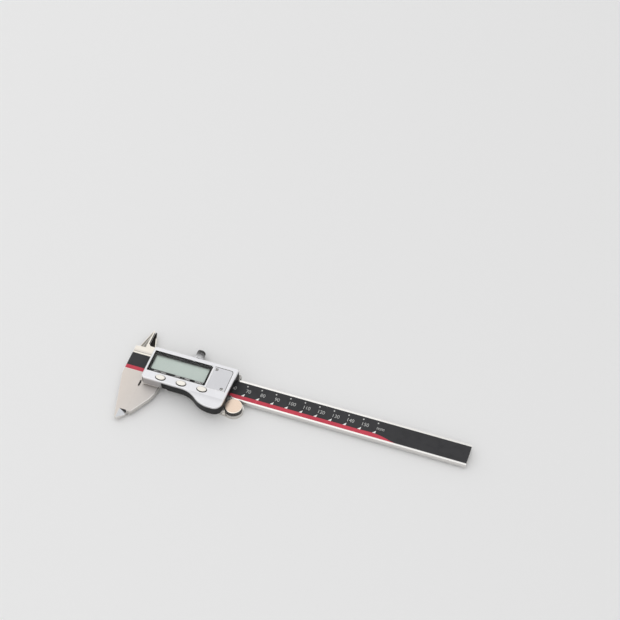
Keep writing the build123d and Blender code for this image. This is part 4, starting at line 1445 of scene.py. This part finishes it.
@dataclass
class Studio:
    """Pale floor, soft lamps and the camera."""

    ground: float = 3.0
    floor_depth: float = 0.004
    paper: Finish = Plastic("floor_paper", PAPER, PAPER, 0.9, 400.0, 0.00001, PAPER, 0.0)
    ambient: float = 0.93
    lamp_level: float = 0.28
    lamps: tuple[tuple[str, Spot, Flat], ...] = (
        ("key", (-1.0, 0.45, 0.8), (1.9, 1.8)), ("front", (-0.25, -1.0, 0.8), (1.7, 1.4)))
    lens: float = 91.6
    stand: Spot = (304.5, -549.2, 848.15)
    right: Spot = (0.9458, 0.3247, 0.0)
    forward: Spot = (-0.2025, 0.5897, -0.7818)

    def sky(self) -> None:
        """Light the scene evenly, and show white to the camera and to mirrors."""
        world = bpy.data.worlds.new("studio")
        world.use_nodes = True
        graph = Graph(world.node_tree)
        soft = graph.add("Background", {"Strength": self.ambient})
        white = graph.add("Background", {"Color": WHITE})
        rays = graph.add("LightPath").outputs
        seen = graph.either(rays["Is Camera Ray"], rays["Is Glossy Ray"], rays["Is Transmission Ray"])
        mixed = graph.add("MixShader", {0: seen, 1: soft.outputs[0], 2: white.outputs[0]})
        graph.add("OutputWorld", {"Surface": mixed.outputs[0]})
        bpy.context.scene.world = world

    def floor(self) -> None:
        """Lay a wide pale floor."""
        builder = Builder()
        builder.slab(rectangle(self.ground / 2, self.ground / 2), -self.floor_depth, 0.0)
        data = builder.data("floor")
        data.materials.append(self.paper.make())
        item = put_in_scene("floor", data)

    def lamp(self, name: str, place: Spot, size: Flat) -> None:
        """Hang a wide soft lamp that points at the tool, so dim that its reflections don't clip.

        Args:
            name: The lamp's name.
            place: Where it hangs, in metres.
            size: Its width and height.
        """
        data = bpy.data.lights.new(name, "AREA")
        data.shape = "RECTANGLE"
        data.size, data.size_y = size
        data.energy = math.pi * size[0] * size[1] * self.lamp_level
        item = put_in_scene(name, data)
        item.location = place
        item.rotation_euler = (-Vector(place)).to_track_quat("-Z", "Y").to_euler()

    def camera(self) -> None:
        """Set up the camera."""
        data = bpy.data.cameras.new("camera")
        data.lens = self.lens
        item = put_in_scene("camera", data)
        right, forward = Vector(self.right).normalized(), Vector(self.forward).normalized()
        turned = Matrix((right, right.cross(forward), -forward)).transposed().to_4x4()
        item.matrix_world = Matrix.Translation(DATUM.at(*self.stand)) @ turned
        bpy.context.scene.camera = item

    def build(self) -> None:
        """Build the whole studio."""
        self.sky()
        self.floor()
        for name, place, size in self.lamps:
            self.lamp(name, place, size)
        self.camera()


def main() -> None:
    """Build the tool's looks in order."""
    logging.basicConfig(level=logging.INFO, format="%(message)s")
    bpy.context.scene.view_settings.view_transform = "Standard"
    CadNodes().build()
    PrintedScale().build()
    LockScrew().build()
    ThumbWheel().build()
    for screws in (
        ScrewSet("battery_cover_screws", 0.9, 0.7, Drive.SLOT, Facing.FRONT, 0.35, 0.4, 0.3, 60.0,
                 finish="lid_screw_steel"),
        ScrewSet("cover_screws", 1.5, 0.8, Drive.CROSS, Facing.BACK),
        ScrewSet("rod_screws", 1.9, 1.0, Drive.CROSS, Facing.BACK, width=0.45, depth=0.45),
        ScrewSet("end_plate_screws", 1.1, 0.6, Drive.CROSS, Facing.BACK, width=0.3, body="beam"),
        ScrewSet("gib_screws", 0.8, 0.8, Drive.SLOT, Facing.UP, width=0.3),
    ):
        screws.build()
    ButtonLabels().build()
    Studio().build()


if __name__ == "__main__":
    main()
